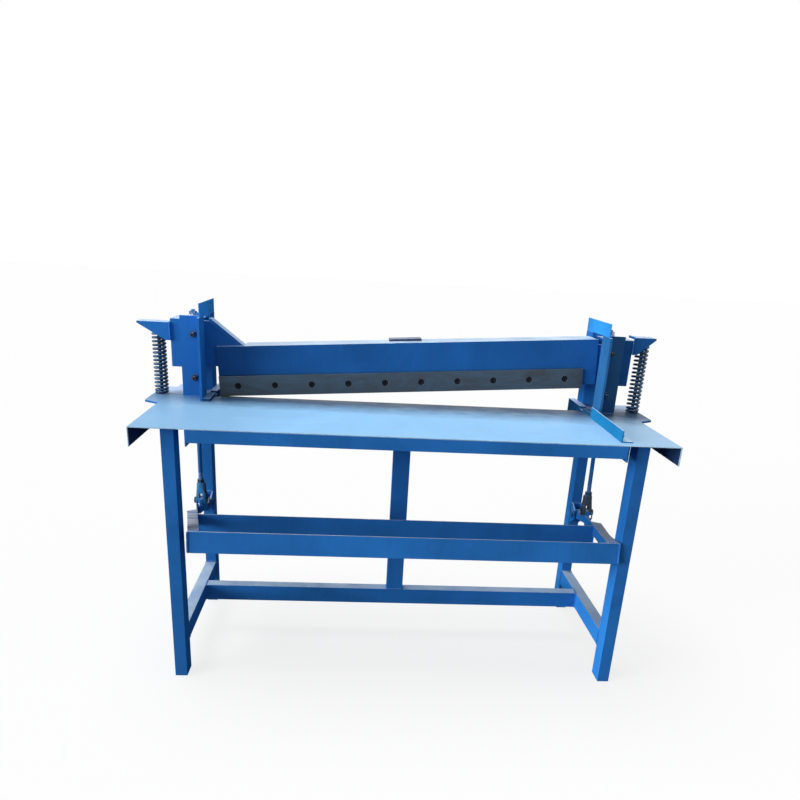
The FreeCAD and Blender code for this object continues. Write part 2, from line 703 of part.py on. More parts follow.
def make_beam():
    mid_height = size.upper_blade_height / 2
    body = plate("beam_angle", "XZ", beam_front, size.beam_wall,
                 box(0, along_beam(size.web_end), beam_low, beam_high), (),
                 [(x, mid_height, screw_bore) for x in screw_places], sloped)
    start = along_beam(-size.riser_foot, beam_high)
    end = along_beam(size.flange_end, beam_high)
    add_pad(body, "XZ", lap_front, size.beam_flange - size.beam_wall,
            (box(start, end, beam_high - size.beam_flange_wall, beam_high),))

    foot_z = beam_top_at(-size.riser_foot)
    run = size.riser_head - size.riser_foot
    climb = size.riser_top - foot_z
    down = size.beam_flange_wall * hypotenuse(run, climb) / run
    level_run = (size.beam_flange_wall - down) * run / climb
    under = size.riser_top - size.beam_flange_wall
    head_under = size.riser_head - level_run
    plate("beam_riser_flange", "XZ", lap_front, size.riser_flange,
          mirrored(LEFT, ((size.riser_foot, foot_z - down), (size.riser_foot, foot_z),
                          (size.riser_head, size.riser_top), (size.flange_end, size.riser_top),
                          (size.flange_end, under), (head_under, under))))
    lap_end = blade_half - size.end_lap
    plate("beam_riser_left", "XZ", lap_front, size.end_plate_wall,
          mirrored(LEFT, ((lap_end, size.slide_bottom), (size.slide_inner, size.slide_bottom),
                          (size.slide_inner, under), (head_under, under),
                          (size.riser_foot, foot_z - down),
                          (size.riser_foot, foot_z - down - size.end_lap))))
    right_top = beam_top_at(size.web_end - size.end_lap) - 2 * size.beam_flange_wall
    plate("beam_end_right", "XZ", lap_front, size.end_plate_wall,
          box(size.web_end - size.end_lap, size.slide_inner, size.slide_bottom, right_top))

    crown = along_beam(size.crown_x)
    plate("beam_crown_plate", "XY", beam_high, size.crown_thick,
          box(crown - size.crown_length / 2, crown + size.crown_length / 2,
              flange_back - size.crown_width, flange_back), place=sloped)


def make_slide_boxes():
    front = gib_back + size.slide_clearance
    back = size.rear_guide_face - size.slide_clearance
    wall = size.slide_wall
    x0, x1 = size.slide_inner, size.slide_inner + size.slide_width
    shell_top = size.slide_top - wall
    for side, name in SIDES:
        body = plate("slide_box_" + name, "XY", size.slide_bottom, shell_top - size.slide_bottom,
                     mirrored(side, box(x0, x1, front, back)),
                     (mirrored(side, box(x0 + wall, x1 - wall, front + wall, back - wall)),))
        add_pad(body, "XY", shell_top, wall,
                (mirrored(side, box(x0, x1, front, back)),
                 rod_slot(side, shell_top + wall / 2, wall, 0)))


# Return springs with their brackets and rods

slide_outer = size.slide_inner + size.slide_width
bracket_tops = {LEFT: size.bracket_top_left, RIGHT: size.bracket_top_right}
bracket_tips = {LEFT: size.bracket_tip_left, RIGHT: size.bracket_tip_right}


def make_spring_brackets():
    wall = size.bracket_wall
    for side, name in SIDES:
        top, tip = bracket_tops[side], bracket_tips[side]
        foot = top - size.bracket_leg
        body = plate("spring_bracket_" + name, "XZ", size.bracket_front, wall,
                     mirrored(side, ((slide_outer, foot), (slide_outer + size.bracket_foot, foot),
                                     (tip, top - wall), (tip, top),
                                     (slide_outer, top))))
        hole = (side * size.spring_x, size.spring_y, size.spring_rod)
        add_pad(body, "XY", top - wall, wall,
                (mirrored(side, box(slide_outer, tip, size.bracket_front + wall,
                                    size.bracket_front + size.bracket_leg)),), (hole,))

        low = end_plate_under - size.spring_rod_below
        rod = new_body("spring_rod_" + name)
        spot = (side * size.spring_x, size.spring_y)
        add_pad(rod, "XY", low, top - low, (), (spot + (size.spring_rod,),))


def arc_between(start, heading, end):
    """The arc that leaves start along heading and ends at end."""
    chord = end - start
    length = chord.Length
    along = Vector(chord).normalize()
    side = heading - along * heading.dot(along)
    bow = math.atan2(side.Length, heading.dot(along))
    halfway = (start + end) * 0.5 + side.normalize() * (length / 2 * math.tan(bow / 2))
    return Part.Arc(start, halfway, end)


def biarc(start, heading, end, arriving):
    """Two arcs that join smoothly, from start along heading to end along arriving."""
    gap = end - start
    both = heading + arriving
    spread = 2 * (1 - heading.dot(arriving))
    reach = (math.sqrt(gap.dot(both) ** 2 + spread * gap.dot(gap)) - gap.dot(both)) / spread
    joint = (start + end + (heading - arriving) * reach) * 0.5
    turned = (end - arriving * reach) - (start + heading * reach)
    return [arc_between(start, heading, joint), arc_between(joint, turned.normalize(), end)]


def coil_path(radius, wire, turns, length):
    """Centre line of a compression spring: straight ends, a bend at each end, and the helix."""
    end_run = 2 * wire
    climb = (length - 2 * end_run) / turns
    slope = math.atan2(climb, 2 * math.pi * radius)

    def helix_point(turn):
        angle = 2 * math.pi * turn
        return Vector(radius * math.cos(angle), radius * math.sin(angle), end_run + climb * turn)

    def helix_heading(turn):
        angle = 2 * math.pi * turn
        flat = math.cos(slope)
        return Vector(-math.sin(angle) * flat, math.cos(angle) * flat, math.sin(slope))

    up = Vector(0, 0, 1)
    bend = wire * math.tan((math.pi / 2 - slope) / 2)
    corner = helix_point(0) - helix_heading(0) * bend
    bend_low = corner - up * bend
    foot = Vector(bend_low.x, bend_low.y, 0)
    edges = [Part.LineSegment(foot, bend_low), arc_between(bend_low, up, helix_point(0))]
    for half in range(2 * turns):
        at, after = half / 2, (half + 1) / 2
        edges += biarc(helix_point(at), helix_heading(at), helix_point(after),
                       helix_heading(after))
    corner = helix_point(turns) + helix_heading(turns) * bend
    bend_high = corner + up * bend
    edges += [arc_between(helix_point(turns), helix_heading(turns), bend_high),
              Part.LineSegment(bend_high, Vector(bend_high.x, bend_high.y, length))]
    return [edge.toShape() for edge in edges]


def least_gap(edges, wire):
    """Smallest distance between stretches of the wire that are over a third of a turn apart."""
    points = [p for edge in edges for p in edge.discretize(8)[:-1]]
    apart = 12
    found = min((points[i] - points[j]).Length
                for i in range(len(points)) for j in range(i + apart, len(points)))
    return found - wire


def make_springs():
    wire = size.spring_wire.value
    radius = (size.spring_outer.value - wire) / 2
    turns = int(size.spring_coils.value)
    for side, name in SIDES:
        seat = size.table_top.value
        length = (bracket_tops[side] - size.bracket_wall).value - seat
        edges = coil_path(radius, wire, turns, length)
        print("spring_" + name, "least gap to itself", round(least_gap(edges, wire), 2), "mm")
        path = Part.Wire(edges)
        start = edges[0].Vertexes[0].Point
        ring = Part.Wire(Part.Circle(start, Vector(0, 0, 1), wire / 2).toShape())
        spring = doc.addObject("Part::Feature", "spring_" + name)
        spring.Label = "spring_" + name
        spring.Shape = path.makePipeShell([ring], True, False)
        spot = Vector(middle.value + side * size.spring_x.value, size.spring_y.value, seat)
        turn = 0 if side == RIGHT else 180
        spring.Placement = FreeCAD.Placement(spot, Rotation(Vector(0, 0, 1), turn))


# Treadle, its levers and its pivots on the rear legs

clevis_y = pivot_y - size.lever_radius * cosine(size.lever_rise)
clevis_z = size.pivot_z + size.lever_radius * sine(size.lever_rise)
clevis_swing = size.lever_radius * (1 - cosine(size.lever_rise))
rod_splay = (size.rod_head_x - size.rod_foot_x) / (size.slide_top - clevis_z)
tilted = (0, pivot_y, size.pivot_z, Vector(1, 0, 0), -size.treadle_tilt)

lever_inner = size.rod_foot_x - size.lever_thick / 2
lever_outer = size.rod_foot_x + size.lever_thick / 2
bar_low = size.treadle_top - size.bar_height
arm_start = size.bar_thick - size.front_bar_reach
lap_start = -size.arm_back - size.arm_lap
arm_fronts = {LEFT: size.arm_front_left, RIGHT: size.arm_front_right}
arm_laps = {LEFT: lever_outer, RIGHT: lever_inner - size.arm_wall}


def arm_face(side, along):
    """Middle of the machine to an arm's inner face, at a distance along the treadle.

    The left arm laps its lever on the outside, the right arm on the inside."""
    flare = (arm_laps[side] - arm_fronts[side]) / (lap_start - arm_start)
    return arm_fronts[side] + (along - arm_start) * flare


def make_treadle_bars():
    half, shift = size.front_bar_half, size.front_bar_shift
    plate("treadle_front_bar", "XZ", -size.front_bar_reach, size.bar_thick,
          box(shift - half, shift + half, bar_low, size.treadle_top), place=tilted)
    front = -size.rear_bar_reach
    back = front + size.bar_thick
    plate("treadle_rear_bar", "XY", bar_low, size.bar_height,
          ((-arm_face(LEFT, front), front), (arm_face(RIGHT, front), front),
           (arm_face(RIGHT, back), back), (-arm_face(LEFT, back), back)), place=tilted)


def make_arms():
    wall = size.arm_wall
    for side, name in SIDES:
        start, lap = arm_face(side, arm_start), arm_laps[side]
        body = plate("treadle_arm_" + name, "XY", size.treadle_top - size.arm_leg, size.arm_leg,
                     mirrored(side, ((start, arm_start), (start + wall, arm_start),
                                     (lap + wall, lap_start), (lap + wall, -size.arm_back),
                                     (lap, -size.arm_back), (lap, lap_start))), place=tilted)
        inner_end, outer_end = -size.arm_cut_inner, -size.arm_cut_outer
        bar_end = size.front_bar_half + side * size.front_bar_shift
        add_pad(body, "XY", size.treadle_top - wall, wall,
                (mirrored(side, ((start, arm_start), (bar_end, arm_start),
                                 (leg_inner - size.arm_neck_gap, -size.arm_neck),
                                 (arm_face(side, outer_end) + size.arm_leg, outer_end),
                                 (arm_face(side, inner_end), inner_end))),))


def make_levers():
    lug = size.lug_radius
    pin_along = -size.lever_radius * cosine(size.lever_rise - size.treadle_tilt)
    pin_above = size.lever_radius * sine(size.lever_rise - size.treadle_tilt)
    top = size.treadle_top - size.arm_wall
    hole = (0, 0, size.pivot_pin + 2 * size.bore_clearance)
    for side, name in SIDES:
        level = low_end(side, lever_inner, lever_outer)
        body = plate("treadle_lever_" + name, "YZ", level, size.lever_thick,
                     ((lap_start, top - size.lever_height), (lap_start, top),
                      (pin_along - lug, top), (pin_along - lug, pin_above),
                      (pin_along + lug, pin_above), (0, size.lever_boss),
                      (0, -size.lever_boss)), place=tilted)
        for spot in ((pin_along, pin_above, 2 * lug), (0, 0, 2 * size.lever_boss)):
            add_pad(body, "YZ", level, size.lever_thick, (), (spot,))
        for spot in ((pin_along, pin_above, size.fork_pin), hole):
            add_pocket(body, "YZ", level, size.lever_thick, (), (spot,))


def make_pivots():
    cheek = size.bracket_cheek
    low, high = size.pivot_z - size.bracket_low, size.pivot_z + size.bracket_high
    nose = pivot_y - size.bracket_nose
    outline = ((leg_face, low), (leg_face, high), (leg_face - cheek, high),
               (nose, size.pivot_z + size.bracket_nose), (nose, size.pivot_z - size.bracket_nose))
    for side, name in SIDES:
        body = new_body("pivot_bracket_" + name)
        hole = ((pivot_y, size.pivot_z, size.pivot_pin),)
        for inner in (leg_inner, leg_outer - cheek):
            add_pad(body, "YZ", low_end(side, inner, inner + cheek), cheek, (outline,), hole)
        add_pad(body, "XZ", leg_face - cheek, cheek,
                (mirrored(side, box(leg_inner + cheek, leg_outer - cheek, low, high)),))

    pins = new_body("pivot_pins")
    spot = (pivot_y, size.pivot_z)
    wide = size.pivot_pin + 2 * size.pin_head_wider
    first, last = leg_inner - size.pin_head, leg_outer + size.pin_head
    rings = ((first, leg_inner), (leg_inner + cheek, lever_inner - size.side_play),
             (lever_outer + size.side_play, leg_outer - cheek), (leg_outer, last))
    for side in (LEFT, RIGHT):
        add_pad(pins, "YZ", low_end(side, first, last), last - first, (),
                (spot + (size.pivot_pin,),))
        for inner, outer in rings:
            add_pad(pins, "YZ", low_end(side, inner, outer), outer - inner, (),
                    (spot + (wide,),))


# Pull rods from the treadle's levers up to the slide boxes

def leaning(side):
    """The frame of a clevis fork: its origin on the pin, its Z leaning back."""
    return (side * size.rod_foot_x, clevis_y, clevis_z, Vector(1, 0, 0), -size.rod_lean)


def along_rod(side):
    """The frame of a pull rod: its origin on the pin, its Z leaning back and outwards."""
    back = tangent(size.rod_lean)
    slope = hypotenuse(back, rod_splay)
    angle = Size(math.degrees(math.atan(slope.value)), "atan(" + slope.text + ")")
    axis = Vector(-back.value, side * rod_splay.value, 0)
    return (side * size.rod_foot_x, clevis_y, clevis_z, axis, angle)


def make_clevises():
    half_x, half_y = size.fork_width / 2, size.fork_depth / 2
    throat = size.lever_thick + 2 * size.bore_clearance
    hole = size.fork_pin + 2 * size.bore_clearance
    for side, name in SIDES:
        body = plate("clevis_" + name, "XZ", -half_y, size.fork_depth,
                     ((-half_x, -size.fork_below), (-throat / 2, -size.fork_below),
                      (-throat / 2, size.fork_throat), (throat / 2, size.fork_throat),
                      (throat / 2, -size.fork_below), (half_x, -size.fork_below),
                      (half_x, size.fork_above), (-half_x, size.fork_above)),
                     place=leaning(side))
        add_pocket(body, "YZ", -half_x, size.fork_width, (), ((0, 0, hole),))
        bore_x = side * (size.fork_throat + size.fork_above) / 2 * rod_splay
        add_pocket(body, "XY", size.fork_throat, size.fork_above - size.fork_throat, (),
                   ((bore_x, 0, size.rod_diameter + 2 * size.screw_clearance),))

    pins = new_body("clevis_pins")
    spot = (clevis_y, clevis_z)
    inner = size.rod_foot_x - half_x - size.side_play
    outer = size.rod_foot_x + half_x + size.side_play
    head = size.fork_pin_head
    for side in (LEFT, RIGHT):
        add_pad(pins, "YZ", low_end(side, inner, outer), outer - inner, (),
                (spot + (size.fork_pin,),))
        for start in (inner - head, outer):
            add_pad(pins, "YZ", low_end(side, start, start + head), head,
                    (hexagon(clevis_y, clevis_z, size.fork_pin_flats),))


def make_pull_rods():
    rod_rise = size.slide_top + size.rod_seat_gap + size.dish_radius - clevis_z
    dish_centre = rod_rise * hypotenuse(as_size(1), hypotenuse(tangent(size.rod_lean), rod_splay))
    dish_top = dish_centre - size.dish_radius + size.dish_thick
    nut_top = dish_top + size.rod_nut_high
    for side, name in SIDES:
        rod = new_body("pull_rod_" + name, along_rod(side))
        rod_low = size.fork_throat + size.screw_clearance
        add_pad(rod, "XY", rod_low, nut_top + size.rod_past_nut - rod_low, (),
                ((0, 0, size.rod_diameter),))

        nuts = new_body("rod_nuts_" + name, along_rod(side))
        add_pad(nuts, "XY", size.fork_above + size.screw_clearance, size.rod_nut_high,
                (hexagon(as_size(0), as_size(0), size.rod_nut_flats),),
                ((0, 0, size.rod_diameter),))
        add_ball_collar(nuts, dish_centre, size.dish_radius, size.rod_diameter / 2,
                        size.dish_width / 2, dish_top)
        add_pad(nuts, "XY", dish_top, size.rod_nut_high,
                (hexagon(as_size(0), as_size(0), size.rod_nut_flats),),
                ((0, 0, size.rod_diameter),))


# Side fence on the table

def make_fence():
    place = (size.fence_x, -size.fence_y, size.table_top, Vector(0, 0, 1), size.fence_skew)
    wall, leg = size.fence_wall, size.fence_leg
    body = plate("side_fence", "XZ", 0, size.fence_length,
                 ((0, 0), (leg, 0), (leg, wall), (wall, wall), (wall, leg), (0, leg)),
                 place=place)
    across = (leg + wall) / 2
    spots = [(across, size.fence_screw_end), (across, size.fence_length - size.fence_screw_end)]
    hole = size.fence_screw + 2 * size.screw_clearance
    add_pocket(body, "XY", 0, wall, (), [(x, y, hole) for x, y in spots])
    screws = new_body("fence_screws", place)
    add_pad(screws, "XY", 0, wall, (), [(x, y, size.fence_screw) for x, y in spots])
    add_pad(screws, "XY", wall, size.fence_screw_head,
            [hexagon(x, y, size.fence_screw_flats) for x, y in spots])


def check_and_export():
    doc.recompute()
    for thing in doc.Objects:
        if "Invalid" in thing.State or "Error" in thing.State:
            raise RuntimeError(thing.Label + " failed: " + str(thing.State))
    nodes = [thing for thing in doc.Objects
             if thing.TypeId == "PartDesign::Body" or thing.Label.startswith("spring_left")
             or thing.Label.startswith("spring_right")]
    for node in nodes:
        if node.Shape.isNull() or not node.Shape.isValid():
            raise RuntimeError(node.Label + " has no valid shape")
    os.makedirs("parts", exist_ok=True)
    for node in nodes:
        node.Shape.exportStep("parts/" + node.Label + ".step")
    print(len(nodes), "sub-parts written")


make_legs()
make_lower_frame()
make_table()
make_end_plates()
make_edge_angles()
make_blades()
make_guides()
make_gib_screws()
make_beam()
make_slide_boxes()
make_spring_brackets()
make_springs()
make_treadle_bars()
make_arms()
make_levers()
make_pivots()
make_clevises()
make_pull_rods()
make_fence()
check_and_export()
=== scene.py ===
import json
import math
import random

import bpy
from mathutils import Matrix, Vector, noise


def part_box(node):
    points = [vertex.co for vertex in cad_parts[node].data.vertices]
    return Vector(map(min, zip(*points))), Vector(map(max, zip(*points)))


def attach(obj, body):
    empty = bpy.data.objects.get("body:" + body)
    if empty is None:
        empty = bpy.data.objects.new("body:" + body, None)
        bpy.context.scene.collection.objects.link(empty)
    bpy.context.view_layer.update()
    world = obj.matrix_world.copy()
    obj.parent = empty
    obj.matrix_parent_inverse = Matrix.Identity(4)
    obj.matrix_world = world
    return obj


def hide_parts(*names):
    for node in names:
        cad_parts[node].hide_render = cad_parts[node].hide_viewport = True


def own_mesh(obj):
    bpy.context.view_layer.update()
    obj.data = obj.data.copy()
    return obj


# Treadle guillotine shear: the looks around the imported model. Metres, in the frame of the CAD.

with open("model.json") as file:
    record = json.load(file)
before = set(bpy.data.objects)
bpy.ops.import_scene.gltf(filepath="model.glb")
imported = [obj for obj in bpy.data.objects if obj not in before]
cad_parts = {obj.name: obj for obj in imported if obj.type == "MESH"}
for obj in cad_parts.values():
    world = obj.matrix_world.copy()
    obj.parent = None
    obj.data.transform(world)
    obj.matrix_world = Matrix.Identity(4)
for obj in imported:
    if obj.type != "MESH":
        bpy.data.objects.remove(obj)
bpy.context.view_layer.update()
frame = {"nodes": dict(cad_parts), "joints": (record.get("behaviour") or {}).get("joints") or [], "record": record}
nodes = frame["nodes"]
joints = {joint["name"]: joint for joint in frame["joints"]}

LEFT, RIGHT = -1, 1
SIDES = ((LEFT, "left"), (RIGHT, "right"))
MIDDLE = (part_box("leg_front_left")[0].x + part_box("leg_front_right")[1].x) / 2
TABLE_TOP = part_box("table_plate")[1].z
UP = Vector((0, 0, 1))


# Node trees

class Tree:
    """A material's node tree, with short calls for the nodes that every finish uses."""

    def __init__(self, name):
        self.material = bpy.data.materials.new(name)
        self.material.use_nodes = True
        self.nodes = self.material.node_tree.nodes
        self.links = self.material.node_tree.links
        self.nodes.clear()
        self.out = self.nodes.new("ShaderNodeOutputMaterial")
        self.place = self.add("ShaderNodeTexCoord").outputs["Object"]
        self.normal = self.add("ShaderNodeNewGeometry").outputs["Normal"]

    def add(self, kind, inputs=None, **settings):
        node = self.nodes.new(kind)
        for name, value in settings.items():
            setattr(node, name, value)
        for name, value in (inputs or {}).items():
            self.put(node.inputs[name], value)
        return node

    def put(self, socket, value):
        if isinstance(value, bpy.types.NodeSocket):
            self.links.new(value, socket)
        elif isinstance(value, tuple) and len(value) == 3 and socket.type == "RGBA":
            socket.default_value = value + (1,)
        else:
            socket.default_value = value

    def math(self, operation, a, b=0.0):
        return self.add("ShaderNodeMath", {0: a, 1: b}, operation=operation).outputs[0]

    def stretch(self, scale):
        return self.add("ShaderNodeMapping", {"Vector": self.place, "Scale": scale}).outputs[0]

    def noise(self, scale, detail=3.0, rough=0.5, stretched=None, warp=0.0):
        where = self.place if stretched is None else self.stretch(stretched)
        inputs = {"Vector": where, "Scale": scale, "Detail": detail, "Roughness": rough,
                  "Distortion": warp}
        return self.add("ShaderNodeTexNoise", inputs).outputs["Fac"]

    def remap(self, value, low, high, to_low=0.0, to_high=1.0):
        inputs = {"Value": value, "From Min": low, "From Max": high, "To Min": to_low,
                  "To Max": to_high}
        return self.add("ShaderNodeMapRange", inputs, clamp=True).outputs[0]

    def mix(self, share, a, b):
        node = self.add("ShaderNodeMix", data_type="RGBA")
        self.put(node.inputs[0], share)
        self.put(node.inputs[6], a)
        self.put(node.inputs[7], b)
        return node.outputs[2]

    def axis(self, index):
        return self.add("ShaderNodeSeparateXYZ", {0: self.place}).outputs[index]

    def looks_along(self, index):
        """The normal's share of an axis: 1 or -1 on faces square to it."""
        return self.add("ShaderNodeSeparateXYZ", {0: self.normal}).outputs[index]

    def facing_up(self):
        """1 on faces that look up, 0 on upright ones."""
        return self.remap(self.looks_along(2), 0.3, 0.95)

    def sheen(self, level):
        """Specular level: full on fronts and tops, none on faces that look along X: painted shade, keeping the
        ends dark without reflection.
        """
        return self.remap(self.math("ABSOLUTE", self.looks_along(0)), 0.3, 0.9, level, 0)

    def edges(self, radius, low=0.03, high=0.22):
        """1 near the corners of the shape."""
        rounded = self.add("ShaderNodeBevel", {"Radius": radius}, samples=4).outputs[0]
        dot = self.add("ShaderNodeVectorMath", {0: rounded, 1: self.normal},
                       operation="DOT_PRODUCT").outputs["Value"]
        return self.remap(self.math("SUBTRACT", 1.0, dot), low, high)

    def bump(self, height, strength, distance):
        inputs = {"Height": height, "Strength": strength, "Distance": distance}
        return self.add("ShaderNodeBump", inputs).outputs[0]

    def finish(self, colour, roughness, bump, **sockets):
        shader = self.add("ShaderNodeBsdfPrincipled", {
            "Base Color": colour, "Roughness": roughness, "Normal": bump})
        for name, value in sockets.items():
            self.put(shader.inputs[name.replace("_", " ")], value)
        self.links.new(shader.outputs[0], self.out.inputs["Surface"])
        return self.material


def scaled(colour, by):
    return tuple(min(1.0, channel * by) for channel in colour)


# Finishes

BLUE = (0.024, 0.188, 0.580)
PAINTED_SIDE_LIGHT_BLUE = (0.050, 0.360, 1.0)
PRIMER = (0.045, 0.060, 0.085)
DUST_AND_TOP_LIGHT = (0.62, 0.78, 0.90)
STEEL = (0.34, 0.34, 0.35)
RUST = (0.090, 0.045, 0.025)
FORGING_RUST_AND_SHADE = (0.075, 0.052, 0.048)
FORGING_RIM_HIGHLIGHT = (0.25, 0.42, 0.60)
FORGING_TOP_LIGHT = (0.30, 0.46, 0.58)
FORGING_PIT = (0.02, 0.02, 0.025)
SPRING_DARK = (0.005, 0.026, 0.075)
SPRING_BLUE = (0.012, 0.070, 0.180)
SPRING_RUBBED = (0.09, 0.24, 0.40)
SPRING_TOP_HIGHLIGHT = (0.13, 0.40, 0.62)
SHOE_WORN_LEFT = (0.86, 0.90, 0.98)
SHOE_WORN_RIGHT = (0.56, 0.59, 0.60)

TABLE_BLUE_WITH_SKY_REFLECTION = (0.29, 0.57, 0.88)
TABLE_GREY = (0.30, 0.42, 0.53)
TABLE_STREAK = (0.36, 0.42, 0.60)
TABLE_BLADE_SHADOW = (0.030, 0.065, 0.128)
TABLE_SCRATCH = (0.60, 0.72, 0.84)
TABLE_SPECK = (0.10, 0.14, 0.22)
TABLE_CHIP = (0.12, 0.17, 0.26)
END_PLATE_BLUE_WITH_SKY_REFLECTION = (0.46, 0.60, 0.84)
RIM_HIGHLIGHT = (0.60, 0.78, 0.92)
FRONT_EDGE_HIGHLIGHT = (0.55, 0.80, 0.92)
FOLD_SHADE = (0.016, 0.028, 0.075)
REAR_EDGE_SHADE = (0.010, 0.042, 0.095)

# Where the table's paint changes along Y
TABLE_FRONT = -0.335
EDGE_ANGLES_FROM = 0.046
BLADE_SHADOW_TO = 0.137
END_PLATES_FROM = 0.160


def paint(name, colour, top_dust_and_light=0.80, chips=0.5, scuff=0.0, gloss=0.34):
    """Brushed enamel over rolled steel: uneven colour, runs, dust and painted light on top,
    chipped corners with a painted highlight.

    The low inner sides at the right end are painted brighter, as painted light from the
    left. Where it is scuffed, shoes have rubbed the tops bare, palest at the left.
    """
    t = Tree(name)
    cloudy = t.noise(3.5, 3, 0.55, warp=0.6)
    runs = t.noise(7, 4, 0.6, stretched=(9, 9, 0.9))
    fine = t.noise(160, 3, 0.6)
    tone = t.mix(t.remap(cloudy, 0.3, 0.7), scaled(colour, 0.80), scaled(colour, 1.16))
    tone = t.mix(t.remap(runs, 0.52, 0.72, 0, 0.16), tone, scaled(colour, 0.62))
    tone = t.mix(t.remap(fine, 0.58, 0.75, 0, 0.18), tone, scaled(colour, 1.5))
    # Left-facing faces low at the right end painted brighter blue: painted light from the left.
    painted_side_light = t.math("MULTIPLY", t.remap(t.looks_along(0), -0.96, -0.86, 1, 0),
                   t.remap(t.axis(0), 0.3, 0.6))
    painted_side_light = t.math("MULTIPLY", painted_side_light, t.remap(t.axis(2), 0.25, 0.55, 0.55, 0))
    tone = t.mix(painted_side_light, tone, PAINTED_SIDE_LIGHT_BLUE)
    # Tops paler: dust, and painted light from above as well.
    top = t.math("MULTIPLY", t.facing_up(), t.remap(t.noise(11, 5, 0.65), 0.35, 0.65, 0.65, 1))
    tone = t.mix(t.math("MULTIPLY", top, top_dust_and_light), tone, DUST_AND_TOP_LIGHT)
    rim = t.edges(0.0035)
    worn = t.math("MULTIPLY", rim, t.remap(t.noise(60, 4, 0.7), 0.50, 0.60))
    spots = t.remap(t.noise(95, 5, 0.75, warp=0.4), 0.70, 0.735)
    pitted = t.math("MULTIPLY", t.math("MAXIMUM", worn, t.math("MULTIPLY", spots, 0.6)), chips)
    # Corners painted brighter than the paint: a painted highlight.
    tone = t.mix(t.math("MULTIPLY", rim, 0.22), tone, scaled(colour, 1.9))
    tone = t.mix(pitted, tone, PRIMER)
    rough = t.remap(t.noise(22, 4, 0.6), 0.3, 0.7, gloss, gloss + 0.16)
    rough = t.math("ADD", rough, t.math("MULTIPLY", pitted, 0.3))
    if scuff:
        rubbed = t.noise(5, 5, 0.7, stretched=(1, 6, 6))
        rubbed = t.math("MULTIPLY", t.facing_up(), t.remap(rubbed, 0.38, 0.56, 0, scuff))
        bare = t.mix(t.remap(t.axis(0), -0.6, 0.5), SHOE_WORN_LEFT, SHOE_WORN_RIGHT)
        tone = t.mix(rubbed, tone, bare)
        rough = t.math("ADD", rough, t.math("MULTIPLY", rubbed, 0.25))
    peel = t.math("ADD", t.math("MULTIPLY", t.noise(380, 2), 0.35), t.noise(45, 3, 0.6))
    peel = t.math("SUBTRACT", peel, t.math("MULTIPLY", pitted, 0.5))
    return t.finish(tone, rough, t.bump(peel, 0.35, 0.0007),
                    Specular_IOR_Level=t.sheen(0.10))


